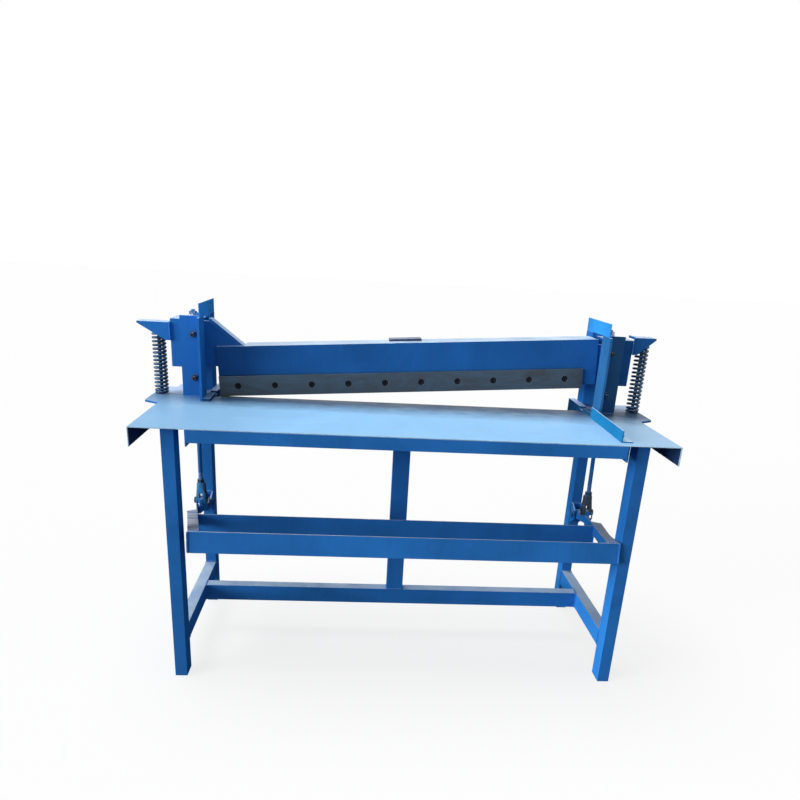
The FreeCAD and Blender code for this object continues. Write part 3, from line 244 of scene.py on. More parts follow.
def table_paint(name, colour):
    """The machine's blue enamel, pale on top as a painted reflection of the sky: scratched along
    the feed, stained, and dark at the blade with a painted shadow of the blade and beam.

    The end plates behind the blade are paler on top, and the upright faces have the
    machine's blue: a painted highlight along the front edge, painted shade inside the folds
    and behind.
    """
    t = Tree(name)
    tone = t.mix(t.remap(t.noise(2.2, 4, 0.6, warp=0.8), 0.3, 0.7), scaled(colour, 0.90),
                 scaled(colour, 1.08))
    left = t.remap(t.axis(0), -0.80, -0.20, 0.42, 0)
    tone = t.mix(left, tone, scaled(colour, 0.45))
    right = t.remap(t.axis(0), 0.60, 0.74, 0, 0.55)
    tone = t.mix(right, tone, TABLE_GREY)
    streaks = t.noise(9, 5, 0.7, stretched=(1, 3, 1))
    tone = t.mix(t.remap(streaks, 0.5, 0.75, 0, 0.22), tone, TABLE_STREAK)
    # Painted shadow of the blade and beam: a dark band in front of the blade, wider to the right, ragged at its
    # edge.
    band = t.remap(t.axis(0), -0.65, 0.70, 0.170, 0.210)
    far = t.math("SUBTRACT", BLADE_SHADOW_TO, t.axis(1))
    near = t.math("SUBTRACT", 1.0, t.math("DIVIDE", far, band))
    ragged = t.math("MULTIPLY", t.math("SUBTRACT", t.noise(14, 5, 0.65, (1, 2, 1)), 0.5), 0.5)
    rubbed = t.remap(t.math("ADD", near, ragged), -0.05, 0.75, 0, 0.94)
    rubbed = t.math("MULTIPLY", rubbed, t.remap(t.axis(0), -0.78, -0.60, 0.30, 1))
    tone = t.mix(rubbed, tone, TABLE_BLADE_SHADOW)
    # End plates paler on top: painted light, like the rest of the pale top.
    behind = t.remap(t.axis(1), END_PLATES_FROM - 0.014, END_PLATES_FROM, 0, 0.85)
    tone = t.mix(behind, tone, END_PLATE_BLUE_WITH_SKY_REFLECTION)
    scratch = t.noise(16, 4, 0.7, stretched=(22, 1.2, 1))
    scratch = t.remap(scratch, 0.66, 0.70, 0, 0.35)
    tone = t.mix(scratch, tone, TABLE_SCRATCH)
    specks = t.remap(t.noise(85, 5, 0.75), 0.69, 0.74, 0, 0.7)
    tone = t.mix(specks, tone, TABLE_SPECK)
    side = t.mix(t.remap(t.noise(7, 4, 0.6, stretched=(3, 3, 0.6)), 0.35, 0.7),
                 scaled(BLUE, 0.80), scaled(BLUE, 1.05))
    inward = t.math("MULTIPLY", t.looks_along(0), t.axis(0))
    side = t.mix(t.remap(inward, -0.80, -0.72, 0.9, 0), side, FOLD_SHADE)
    # Painted highlight along the sheet's front edge.
    front = t.remap(t.axis(1), TABLE_FRONT + 0.005, TABLE_FRONT + 0.001, 0, 0.8)
    side = t.mix(front, side, FRONT_EDGE_HIGHLIGHT)
    rear = t.remap(t.axis(1), EDGE_ANGLES_FROM - 0.006, EDGE_ANGLES_FROM, 0, 0.8)
    side = t.mix(rear, side, REAR_EDGE_SHADE)
    # Tops take the pale tone, a painted reflection of the sky; upright faces take the blue.
    tone = t.mix(t.facing_up(), side, tone)
    rim = t.math("MULTIPLY", t.edges(0.003), t.remap(inward, -0.80, -0.72, 0.3, 1))
    behind = t.remap(t.axis(1), EDGE_ANGLES_FROM - 0.006, EDGE_ANGLES_FROM, 1, 0.25)
    rim = t.math("MULTIPLY", rim, behind)
    chipped = t.math("MULTIPLY", rim, t.remap(t.noise(42, 4, 0.7), 0.52, 0.58, 0, 0.75))
    # Corners painted pale: a painted highlight, weaker inside the folds and behind.
    tone = t.mix(t.math("MULTIPLY", rim, 0.45), tone, RIM_HIGHLIGHT)
    tone = t.mix(chipped, tone, TABLE_CHIP)
    rough = t.remap(t.noise(12, 5, 0.6), 0.3, 0.7, 0.34, 0.52)
    waves = t.math("ADD", t.math("MULTIPLY", t.noise(300, 2), 0.2), t.noise(7, 2))
    waves = t.math("SUBTRACT", waves, t.math("MULTIPLY", scratch, 0.3))
    return t.finish(tone, rough, t.bump(waves, 0.3, 0.001),
                    Specular_IOR_Level=t.sheen(0.12))


def ground_steel(name, colour, stain):
    """Ground tool steel: fine lines along the blade, brown and grey stains, corners painted bright as a painted
    highlight.
    """
    t = Tree(name)
    lines = t.noise(40, 4, 0.7, stretched=(0.5, 20, 26))
    tone = t.mix(t.remap(lines, 0.3, 0.7), scaled(colour, 0.72), scaled(colour, 1.3))
    patches = t.remap(t.noise(6, 5, 0.7, stretched=(1, 3, 3), warp=1.0), 0.42, 0.66, 0, 0.75)
    tone = t.mix(patches, tone, stain)
    pits = t.remap(t.noise(120, 5, 0.8), 0.66, 0.72, 0, 0.7)
    tone = t.mix(pits, tone, scaled(stain, 0.35))
    rim = t.edges(0.0025)
    # Corners painted brighter: a painted highlight.
    tone = t.mix(t.math("MULTIPLY", rim, 0.5), tone, scaled(STEEL, 0.9))
    rough = t.math("ADD", t.remap(lines, 0.3, 0.7, 0.36, 0.50), t.math("MULTIPLY", patches, 0.15))
    height = t.math("ADD", lines, t.math("MULTIPLY", pits, -0.6))
    return t.finish(tone, rough, t.bump(height, 0.3, 0.0004), Metallic=0.85)


def fastener_steel(name, colour, splash=0.0, metal=0.9, shine=0.5):
    """Turned or rolled steel, oily in places, with splashes of the blue paint where asked."""
    t = Tree(name)
    tone = t.mix(t.remap(t.noise(70, 4, 0.6), 0.3, 0.7), scaled(colour, 0.55),
                 scaled(colour, 1.25))
    rust = t.remap(t.noise(110, 5, 0.75), 0.60, 0.70, 0, 0.5)
    tone = t.mix(rust, tone, RUST)
    if splash:
        wet = t.remap(t.noise(48, 4, 0.6, warp=0.8), 0.56 - splash * 0.2, 0.60 - splash * 0.2)
        tone = t.mix(wet, tone, scaled(BLUE, 0.8))
    # Corners painted brighter steel: a painted highlight.
    rim = t.math("MULTIPLY", t.edges(0.0015), 0.35)
    tone = t.mix(rim, tone, STEEL)
    rough = t.remap(t.noise(130, 4, 0.6), 0.3, 0.7, 0.26, 0.52)
    return t.finish(tone, rough, t.bump(t.noise(260, 3), 0.3, 0.0003), Metallic=metal,
                    Specular_IOR_Level=shine)


def fork_paint(name, colour, rust):
    """A forging, painted thinly on its left: brown in patches of rust, more on the faces that look right, where
    the brown is also painted shade; painted highlights on the corners and painted light on top.
    """
    t = Tree(name)
    tone = t.mix(t.remap(t.noise(30, 4, 0.6, warp=0.5), 0.3, 0.7), scaled(colour, 0.75),
                 scaled(colour, 1.2))
    rust_and_shade = t.noise(24, 4, 0.65, stretched=(1, 1, 0.5))
    # More brown on the faces that look right: rust, and painted shade there.
    rust_and_shade = t.math("ADD", rust_and_shade, t.remap(t.looks_along(0), -0.9, 0.5, -0.25, 0.10))
    tone = t.mix(t.remap(rust_and_shade, 0.50, 0.62, 0, rust), tone, FORGING_RUST_AND_SHADE)
    rim = t.edges(0.002)
    # Corners painted pale: a painted highlight.
    tone = t.mix(t.math("MULTIPLY", rim, 0.35), tone, FORGING_RIM_HIGHLIGHT)
    # Tops painted pale: painted light from above.
    tone = t.mix(t.math("MULTIPLY", t.facing_up(), 0.4), tone, FORGING_TOP_LIGHT)
    pits = t.noise(170, 4, 0.7)
    tone = t.mix(t.remap(pits, 0.62, 0.72, 0, 0.6), tone, FORGING_PIT)
    rough = t.remap(t.noise(60, 4, 0.6), 0.3, 0.7, 0.40, 0.62)
    return t.finish(tone, rough, t.bump(pits, 0.4, 0.0006), Specular_IOR_Level=t.sheen(0.25))


def spring_finish(name):
    """Dark painted spring wire, rubbed bright in places, with a painted highlight on the wire's upper side."""
    t = Tree(name)
    tone = t.mix(t.remap(t.noise(60, 4, 0.6), 0.3, 0.7), SPRING_DARK, SPRING_BLUE)
    rubbed = t.remap(t.noise(140, 4, 0.7), 0.60, 0.70, 0, 0.6)
    tone = t.mix(rubbed, tone, SPRING_RUBBED)
    # Upper side of the wire painted pale: a painted highlight.
    tone = t.mix(t.math("MULTIPLY", t.facing_up(), 0.45), tone, SPRING_TOP_HIGHLIGHT)
    rough = t.remap(t.noise(90, 3), 0.3, 0.7, 0.24, 0.42)
    return t.finish(tone, rough, t.bump(t.noise(240, 3), 0.3, 0.0003), Metallic=0.35)


FINISHES = {
    "blue_paint": paint("blue_paint_finish", BLUE),
    # A darker copy of the blue: painted shade on the beam and the right slide box and bracket.
    "shaded_blue_paint": paint("beam_paint_finish", scaled(BLUE, 0.66), chips=0.4),
    "worn_blue_paint": paint("worn_blue_paint_finish", BLUE, top_dust_and_light=0.45, chips=0.9, scuff=0.9),
    "table_blue_paint": table_paint("table_blue_paint_finish", TABLE_BLUE_WITH_SKY_REFLECTION),
    "blade_steel": ground_steel("blade_steel_finish", (0.066, 0.100, 0.132),
                                (0.066, 0.064, 0.068)),
    "black_screws": fastener_steel("black_screws_finish", (0.006, 0.008, 0.012), metal=0.0,
                                   shine=0.1),
    "spring_steel": spring_finish("spring_steel_finish"),
    "bare_steel": fastener_steel("bare_steel_finish", (0.16, 0.17, 0.18)),
    "bright_steel": fastener_steel("bright_steel_finish", (0.30, 0.36, 0.42), splash=0.25),
    "splashed_steel": fastener_steel("splashed_steel_finish", (0.10, 0.11, 0.12), splash=0.6),
    "weld_paint": paint("weld_paint_finish", scaled(BLUE, 0.95), top_dust_and_light=0.3, chips=0.3,
                        gloss=0.28),
    "forged_paint": paint("forged_paint_finish", (0.030, 0.085, 0.190), top_dust_and_light=0.35, chips=0.8),
    # A darker copy of the blue: painted shade on the right front guide.
    "right_guide_shaded_paint": paint("guide_paint_finish", (0.030, 0.150, 0.360)),
    "fence_paint": paint("fence_paint_finish", (0.017, 0.198, 0.420)),
    "cap_paint": paint("cap_paint_finish", (0.040, 0.310, 0.800)),
    "crown_paint": paint("crown_paint_finish", (0.050, 0.060, 0.130), top_dust_and_light=0.25, chips=0.8),
    "fork_paint_left": fork_paint("fork_paint_left_finish", (0.030, 0.240, 0.520), 0.9),
    "fork_paint_right": fork_paint("fork_paint_right_finish", (0.045, 0.072, 0.115), 0.5),
    "dirty_steel": fastener_steel("dirty_steel_finish", (0.055, 0.055, 0.060), splash=0.1,
                                  metal=0.3, shine=0.3),
}


def dress(thing, finish):
    thing.data.materials.clear()
    thing.data.materials.append(FINISHES[finish])


# Shapes built in mesh code

class Shape:
    """Rings, lathed and six-sided forms gathered in one mesh."""

    def __init__(self):
        self.points = []
        self.faces = []

    def take(self, points, faces, place=Matrix.Identity(4)):
        first = len(self.points)
        self.points += [place @ Vector(p) for p in points]
        self.faces += [tuple(first + i for i in face) for face in faces]

    def rings(self, rings, place=Matrix.Identity(4), closed=False):
        """A skin over rings of equally many points; the ends are capped unless it is closed."""
        count = len(rings[0])
        points = [p for ring in rings for p in ring]
        faces = []
        last = len(rings) if closed else len(rings) - 1
        for i in range(last):
            a, b = i * count, (i + 1) % len(rings) * count
            for j in range(count):
                k = (j + 1) % count
                faces.append((a + j, a + k, b + k, b + j))
        if not closed:
            faces.append(tuple(reversed(range(count))))
            faces.append(tuple(range(len(points) - count, len(points))))
        self.take(points, faces, place)

    def lathe(self, profile, place=Matrix.Identity(4), sides=32, closed=False):
        """The profile, points of radius and height, turned about Z."""
        turns = [2 * math.pi * i / sides for i in range(sides)]
        rings = [[(r * math.cos(a), r * math.sin(a), z) for a in turns] for r, z in profile]
        self.rings(rings, place, closed)

    def nut(self, flats, low, high, place=Matrix.Identity(4), bore=0.0):
        """A hexagon with the corners turned off at both ends, as a nut or a bolt head."""
        sides = 48
        turned = flats / 2 * 0.96
        slope = math.tan(math.radians(30))
        countersink = bore * 0.12
        turns = [2 * math.pi * i / sides for i in range(sides)]

        def corner(a):
            return flats / 2 / math.cos((a + math.pi / 6) % (math.pi / 3) - math.pi / 6)

        def circle(radius, z):
            return [(radius * math.cos(a), radius * math.sin(a), z) for a in turns]

        def hexagon(z, sign):
            return [(corner(a) * math.cos(a), corner(a) * math.sin(a),
                     z - sign * (corner(a) - turned) * slope) for a in turns]

        rings = [circle(turned, low), hexagon(low, -1), hexagon(high, 1), circle(turned, high)]
        if bore:
            rings = ([circle(bore, low + countersink), circle(bore + countersink, low)] + rings +
                     [circle(bore + countersink, high), circle(bore, high - countersink)])
        self.rings(rings, place, closed=bool(bore))

    def bead(self, start, end, radius, seed, ripple=0.0024):
        """A weld bead: overlapping half-round ripples along a seam, tapering at the ends."""
        start, end = Vector(start), Vector(end)
        along = (end - start).normalized()
        side = along.orthogonal().normalized()
        other = along.cross(side)
        length = (end - start).length
        steps = max(4, int(length / (ripple / 4)))
        rings = []
        for i in range(steps + 1):
            s = length * i / steps
            lift = abs(math.sin(math.pi * s / ripple + seed))
            wander = noise.noise(Vector((s * 60, seed * 7.3, 0)))
            r = radius * (0.86 + 0.16 * lift + 0.22 * wander)
            r *= min(1.0, 0.25 + 3 * s / (radius * 4), 0.25 + 3 * (length - s) / (radius * 4))
            drift = side * (0.12 * radius * noise.noise(Vector((s * 35, 0, seed))))
            centre = start + along * s + drift
            rings.append([centre + (side * math.cos(a) + other * math.sin(a)) * r
                          for a in (2 * math.pi * k / 8 for k in range(8))])
        self.rings(rings)

    def build(self, name, finish, body, replaces=(), slot=None, smooth=40):
        mesh = bpy.data.meshes.new(name)
        mesh.from_pydata([tuple(p) for p in self.points], [], self.faces)
        mesh.update()
        thing = bpy.data.objects.new(name, mesh)
        bpy.context.scene.collection.objects.link(thing)
        dress(thing, finish)
        mesh.shade_smooth()
        mesh.set_sharp_from_angle(angle=math.radians(smooth))
        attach(thing, body)
        if replaces:
            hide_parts(*replaces)
        return thing


def facing(origin, direction, roll=0.0):
    """A place at origin whose Z looks along the direction."""
    turned = Vector(direction).normalized().to_track_quat("Z", "Y").to_matrix().to_4x4()
    return Matrix.Translation(Vector(origin)) @ turned @ Matrix.Rotation(roll, 4, "Z")


# The CAD pieces: softened corners and their finish

SOFT_CORNERS = {
    "leg_": 0.0030, "side_rail": 0.0030, "lower_stretcher": 0.0030, "centre_post": 0.0030,
    "bed_bar": 0.0030, "slide_box": 0.0015, "beam_angle": 0.0020, "front_apron": 0.0012,
    "cross_rail": 0.0008, "end_plate": 0.0010, "edge_angles": 0.0010, "lower_blade": 0.0006,
    "upper_blade": 0.0006, "guide_front": 0.0018, "guide_rear": 0.0018, "guide_cap": 0.0010,
    "beam_": 0.0014, "spring_bracket": 0.0014, "treadle_front": 0.0010, "treadle_rear": 0.0010,
    "treadle_arm": 0.0010, "treadle_lever": 0.0014, "pivot_bracket": 0.0012,
    "clevis_": 0.0016, "side_fence": 0.0010, "table_plate": 0.0008,
}
OTHER_SOFT_CORNER = 0.0006
FINISH_OF_NODE = {row["node"]: row["material_slot"] for row in frame["record"]["subparts"]}
# The darker copies given here are painted shade; the caps, crown and fence have colours of their own.
OTHER_FINISH = {"beam_angle": "shaded_blue_paint", "slide_box_right": "shaded_blue_paint",
                "spring_bracket_right": "shaded_blue_paint", "beam_crown_plate": "crown_paint",
                "pivot_pins": "forged_paint", "guide_front_right": "right_guide_shaded_paint",
                "side_fence": "fence_paint", "guide_cap_left": "cap_paint",
                "guide_cap_right": "cap_paint"}


def soften(thing, width):
    weld = thing.modifiers.new("join_corners", "WELD")
    weld.merge_threshold = 0.00001
    flat = thing.modifiers.new("whole_faces", "DECIMATE")
    flat.decimate_type = "DISSOLVE"
    flat.angle_limit = math.radians(1)
    bevel = thing.modifiers.new("soft_corners", "BEVEL")
    bevel.width = width
    bevel.segments = 2
    bevel.limit_method = "ANGLE"
    bevel.angle_limit = math.radians(35)
    shading = thing.modifiers.new("even_shading", "WEIGHTED_NORMAL")
    shading.keep_sharp = False


def dress_nodes():
    for name, thing in nodes.items():
        dress(thing, OTHER_FINISH.get(name, FINISH_OF_NODE[name]))
        widths = [width for start, width in SOFT_CORNERS.items() if name.startswith(start)]
        soften(thing, widths[0] if widths else OTHER_SOFT_CORNER)


# Return springs

def add_springs():
    """Compression springs with closed ends, ground flat on the seat and under the bracket."""
    wire, outer, turns = 0.0084, 0.048, 19
    steps, sides = 40, 12
    closed = 1.1
    radius = (outer - wire) / 2
    for side, name in SIDES:
        low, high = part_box("spring_" + name)
        centre = Vector(((low.x + high.x) / 2, (low.y + high.y) / 2, 0))
        seat, top = low.z, high.z
        pitch = (top - seat - wire - 2 * closed * wire) / (turns - 2 * closed)
        spots = []
        height = seat + wire / 2
        phase = 0.0 if side == RIGHT else math.pi
        for i in range(turns * steps + 1):
            turn = i / steps
            ends = min(turn, turns - turn)
            share = min(1.0, max(0.0, (ends - closed + 0.35) / 0.7))
            share = share * share * (3 - 2 * share)
            climb = wire + (pitch - wire) * share
            angle = phase + 2 * math.pi * turn
            out = Vector((math.cos(angle), math.sin(angle), 0))
            spots.append((centre + out * radius + UP * height, out))
            height += climb / steps
        stretch = (top - wire / 2 - (seat + wire / 2)) / (spots[-1][0].z - spots[0][0].z)
        shape = Shape()
        skin = []
        for spot, out in spots:
            spot.z = seat + wire / 2 + (spot.z - seat - wire / 2) * stretch
            ring = []
            for k in range(sides):
                a = 2 * math.pi * k / sides
                p = spot + (out * math.cos(a) + UP * math.sin(a)) * wire / 2
                p.z = min(max(p.z, seat), top)
                ring.append(p)
            skin.append(ring)
        shape.rings(skin)
        piece = shape.build("return_spring_" + name, "spring_steel", "frame",
                            ("spring_" + name,), "spring_steel", 60)
        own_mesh(piece)


# Threaded and six-sided pieces

def threaded(radius, low, high, pitch=0.002):
    """Profile of a threaded stretch."""
    count = int((high - low) / pitch)
    step = (high - low) / count
    profile = []
    for i in range(count):
        z = low + i * step
        profile += [(radius - 0.0007, z + step * 0.1), (radius, z + step * 0.45),
                    (radius, z + step * 0.6), (radius - 0.0007, z + step * 0.95)]
    return profile


GUIDE_WALL = 0.008
GIB_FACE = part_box("guide_front_left")[1].y - GUIDE_WALL
GIB_SCREW_X = 0.725
GIB_SCREW_Z = (TABLE_TOP + 0.068, TABLE_TOP + 0.215)


def add_gib_screws():
    """Socket set screws through the guides, each with a lock nut outside."""
    nut, beyond, flats, radius, inside = 0.011, 0.016, 0.022, 0.007, 0.010
    nuts, screws = Shape(), Shape()
    rng = random.Random(4)
    for side in (LEFT, RIGHT):
        for z in GIB_SCREW_Z:
            place = facing((MIDDLE + side * GIB_SCREW_X, GIB_FACE, z), (0, -1, 0),
                           rng.uniform(0, 1))
            nuts.nut(flats, 0, nut, place, bore=radius)
            end = nut + beyond
            thread = threaded(radius, 0.0005, end - 0.0015, 0.002)
            shell = [(radius - 0.0008, -inside)] + thread
            socket = [(radius - 0.0016, end), (0.0040, end), (0.0037, end - 0.0005),
                      (0.0035, end - 0.0065)]
            screws.lathe(shell + socket, place, 24)
    nuts.build("gib_lock_nuts", "forged_paint", "frame", ("gib_bolts",), "bare_steel", 30)
    screws.build("gib_screws", "dirty_steel", "frame", slot="bare_steel")


ROD_LEAN = math.tan(math.radians(6.7))
ROD_RISE = 0.644996
ROD_SPLAY = 0.017 / ROD_RISE


def rod_frame(side, name):
    """The frame of a pull rod: its origin on the clevis pin and Z along the rod."""
    foot = Vector(joints["rod_" + name + "_swing"]["pos_m"])
    along = Vector((side * ROD_SPLAY, ROD_LEAN, 1)).normalized()
    return facing(foot, along)


def add_pull_rods():
    radius = 0.008
    for side, name in SIDES:
        place = rod_frame(side, name)
        inverse = place.inverted()
        heights = [(inverse @ v.co).z for v in nodes["pull_rod_" + name].data.vertices]
        low, high = min(heights), max(heights)
        shape = Shape()
        lower = threaded(radius, low + 0.001, low + 0.075)
        upper = threaded(radius, high - 0.085, high - 0.002)
        waist = [(radius - 0.0004, low + 0.077), (radius - 0.0004, high - 0.087)]
        shape.lathe([(radius - 0.0015, low)] + lower + waist + upper + [(radius - 0.0015, high)],
                    place, 28)
        shape.build("rod_" + name, "blue_paint", "rod_" + name, ("pull_rod_" + name,),
                    "blue_paint")

        heights = [(inverse @ v.co).z for v in nodes["rod_nuts_" + name].data.vertices]
        low, high = min(heights), max(heights)
        nut, collar = 0.013, 0.008
        dish = high - nut - collar
        lock = Shape()
        lock.nut(0.024, low, low + nut, place, bore=radius)
        lock.build("lock_nut_" + name, "forged_paint", "rod_" + name, slot="bare_steel",
                   smooth=30)
        nuts = Shape()
        nuts.nut(0.024, high - nut, high, place @ Matrix.Rotation(0.4, 4, "Z"), bore=radius)
        ball, centre = 0.030, dish + 0.030
        bowl = [(r, centre - math.sqrt(ball ** 2 - r ** 2)) for r in
                (radius, 0.011, 0.014, 0.0165)]
        nuts.lathe(bowl + [(0.017, bowl[-1][1] + 0.0008), (0.017, high - nut - 0.001),
                           (0.0162, high - nut), (radius, high - nut)], place, 40, closed=True)
        nuts.build("collar_nut_" + name, "bright_steel", "rod_" + name,
                   ("rod_nuts_" + name,), "bare_steel", 30)


FORK = {"half_x": 0.017, "half_y": 0.013, "throat": 0.00605, "crotch": 0.027}
# Share of the width, share of the depth, height over the pin, squareness (less is squarer)
FORK_SECTIONS = (
    (1.00, 1.00, 0.0265, 0.30), (1.00, 1.00, 0.0325, 0.34), (1.00, 1.00, 0.0385, 0.45),
    (0.98, 1.00, 0.0465, 0.65), (0.95, 0.99, 0.0630, 0.80), (0.90, 0.94, 0.0655, 0.90),
    (0.86, 0.90, 0.0660, 0.95),
)
# X from the middle and how far the outline draws in there
CHEEK_SECTIONS = ((FORK["throat"], 0.0), (FORK["half_x"] - 0.0012, 0.0),
                  (FORK["half_x"] - 0.0003, 0.0005), (FORK["half_x"], 0.0013))


def fork_section(wide, deep, z, power):
    """A rounded rectangle at a height of the fork's body."""
    ring = []
    for i in range(40):
        a = 2 * math.pi * i / 40
        c, s = math.cos(a), math.sin(a)
        ring.append((FORK["half_x"] * wide * math.copysign(abs(c) ** power, c),
                     FORK["half_y"] * deep * math.copysign(abs(s) ** power, s), z))
    return ring


def cheek_sections(hand):
    """The sections of one cheek, with its round end below the pin."""
    half = FORK["half_y"]
    outline = [(half, FORK["crotch"])]
    for i in range(17):
        a = math.pi * i / 16
        outline.append((half * math.cos(a), -half * 0.98 * math.sin(a)))
    outline.append((-half, FORK["crotch"]))
    rings = []
    for x, inset in CHEEK_SECTIONS:
        ring = [(hand * x, y * (1 - inset / half), max(z, -half) + (inset if z <= 0 else 0))
                for y, z in outline]
        rings.append(ring if hand == RIGHT else ring[::-1])
    return rings


def add_clevis_forks():
    """Forged forks: a rounded body and two cheeks with round ends."""
    for _, name in SIDES:
        foot = Vector(joints["rod_" + name + "_swing"]["pos_m"])
        place = Matrix.Translation(foot) @ Matrix.Rotation(-math.atan(ROD_LEAN), 4, "X")
        shape = Shape()
        shape.rings([fork_section(*section) for section in FORK_SECTIONS], place)
        for hand in (LEFT, RIGHT):
            shape.rings(cheek_sections(hand), place)
        shape.build("clevis_fork_" + name, "fork_paint_" + name, "rod_" + name,
                    ("clevis_" + name,), "blue_paint", 35)


def add_clevis_pins():
    shape = Shape()
    for side, name in SIDES:
        foot = Vector(joints["rod_" + name + "_swing"]["pos_m"])
        place = facing(foot, (side, 0, 0))
        head, reach = 0.008, 0.0175
        shape.nut(0.022, reach, reach + head, place)
        shape.nut(0.022, -reach - head, -reach, place, bore=0.007)
        shape.lathe([(0.0062, -reach - head + 0.0005)] +
                    threaded(0.0070, -reach - head + 0.001, -reach, 0.0015) +
                    [(0.007, -reach + 0.0005), (0.007, reach)], place, 24)
    shape.build("clevis_bolts", "dirty_steel", "treadle", ("clevis_pins",), "bare_steel", 30)


def add_fence_screws():
    low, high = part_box("fence_screws")
    points = [v.co for v in nodes["fence_screws"].data.vertices]
    middle = (low.y + high.y) / 2
    shape = Shape()
    for group in ([p for p in points if p.y < middle], [p for p in points if p.y > middle]):
        x = (min(p.x for p in group) + max(p.x for p in group)) / 2
        y = (min(p.y for p in group) + max(p.y for p in group)) / 2
        place = Matrix.Translation((x, y, 0)) @ Matrix.Rotation(0.3, 4, "Z")
        head = high.z - 0.0055
        shape.nut(0.013, head + 0.0012, high.z, place)
        shape.lathe([(0.0040, low.z), (0.0040, head), (0.0078, head), (0.0080, head + 0.0003),
                     (0.0080, head + 0.0010), (0.0077, head + 0.0013)], place, 32)
    shape.build("fence_hold_down_screws", "splashed_steel", "frame", ("fence_screws",),
                "bare_steel", 30)


# Weld beads along the seams

TREADLE_TILT = math.radians(8.0)
TREADLE_ARM_LEG = 0.036
TUBE_BEAD, RAIL_BEAD, PLATE_BEAD, FLANGE_BEAD = 0.0032, 0.0035, 0.0030, 0.0026
UNDER_SHEET_BEAD, UNDER_SHEET_DROP = 0.0020, 0.0008


def box_in(place, name):
    """The extents of a piece in a frame of its own."""
    inverse = place.inverted()
    points = [inverse @ v.co for v in nodes[name].data.vertices]
    return (Vector([min(p[i] for p in points) for i in range(3)]),
            Vector([max(p[i] for p in points) for i in range(3)]))


def inner_outer(side, low, high):
    """The X of a piece's inner and outer face."""
    return (low.x, high.x) if side == RIGHT else (high.x, low.x)


class Welds:
    """Weld beads, gathered by the body that they ride on; each has a number of its own."""

    def __init__(self):
        self.beads = {"frame": Shape(), "blade_beam": Shape(), "treadle": Shape()}
        self.count = 0

    def seam(self, body, start, end, radius=RAIL_BEAD):
        self.count += 1
        self.beads[body].bead(start, end, radius, self.count)

    def around(self, low, high, z, radius=TUBE_BEAD):
        """Round an upright tube of the frame, at a height."""
        corners = [(low.x, low.y), (high.x, low.y), (high.x, high.y), (low.x, high.y)]
        for i in range(4):
            a, b = corners[i], corners[(i + 1) % 4]
            self.seam("frame", (a[0], a[1], z), (b[0], b[1], z), radius)

    def under_sheet(self, low, high):
        self.around(low, high, high.z - UNDER_SHEET_DROP, UNDER_SHEET_BEAD)

    def build(self):
        for body, shape in self.beads.items():
            shape.build(body + "_weld_beads", "weld_paint", body, slot="blue_paint", smooth=60)


def weld_legs(welds, side, name):
    for row in ("front", "rear"):
        welds.under_sheet(*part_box("leg_%s_%s" % (row, name)))
    low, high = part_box("side_rail_" + name)
    for y in (low.y, high.y):
        for x in (low.x, high.x):
            welds.seam("frame", (x, y, low.z), (x, y, high.z))
        for z in (low.z, high.z):
            welds.seam("frame", (low.x, y, z), (high.x, y, z))
    inner = inner_outer(side, low, high)[0]
    low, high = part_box("lower_stretcher")
    for y in (low.y, high.y):
        welds.seam("frame", (inner, y, low.z), (inner, y, high.z))
    for z in (low.z, high.z):
        welds.seam("frame", (inner, low.y, z), (inner, high.y, z))


def weld_guides(welds, side, name):
    low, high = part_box("guide_front_" + name)
    inner, outer = inner_outer(side, low, high)
    wall_x, wall_y = inner + side * GUIDE_WALL, high.y - GUIDE_WALL
    welds.seam("frame", (inner, low.y, low.z), (inner, high.y, low.z))
    welds.seam("frame", (inner, low.y, low.z), (wall_x, low.y, low.z))
    welds.seam("frame", (wall_x, wall_y, low.z), (outer, wall_y, low.z))
    low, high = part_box("guide_rear_" + name)
    inner, outer = inner_outer(side, low, high)
    welds.seam("frame", (inner, low.y, low.z), (inner, high.y, low.z))
    welds.seam("frame", (inner, low.y, low.z), (outer, low.y, low.z))
    cap_low, cap_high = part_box("guide_cap_" + name)
    outer = inner_outer(side, cap_low, cap_high)[1]
    for guide in ("guide_front_", "guide_rear_"):
        low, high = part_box(guide + name)
        welds.seam("frame", (outer, max(low.y, cap_low.y), high.z),
                   (outer, min(high.y, cap_high.y), high.z), PLATE_BEAD)


def weld_pivot_bracket(welds, name):
    low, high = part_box("pivot_bracket_" + name)
    for x in (low.x, high.x):
        welds.seam("frame", (x, high.y, low.z), (x, high.y, high.z), PLATE_BEAD)
    welds.seam("frame", (low.x, high.y, high.z), (high.x, high.y, high.z), PLATE_BEAD)


def weld_slide(welds, side, name):
    low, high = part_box("spring_bracket_" + name)
    inner = inner_outer(side, low, high)[0]
    welds.seam("blade_beam", (inner, low.y, low.z), (inner, low.y, high.z), PLATE_BEAD)
    welds.seam("blade_beam", (inner, low.y, high.z), (inner, high.y, high.z), PLATE_BEAD)
    low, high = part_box("slide_box_" + name)
    inner = inner_outer(side, low, high)[0]
    plate_low, plate_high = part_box("beam_riser_left" if side == LEFT else "beam_end_right")
    for y in (plate_low.y, plate_high.y):
        welds.seam("blade_beam", (inner, y, plate_low.z),
                   (inner, y, min(high.z, plate_high.z)))


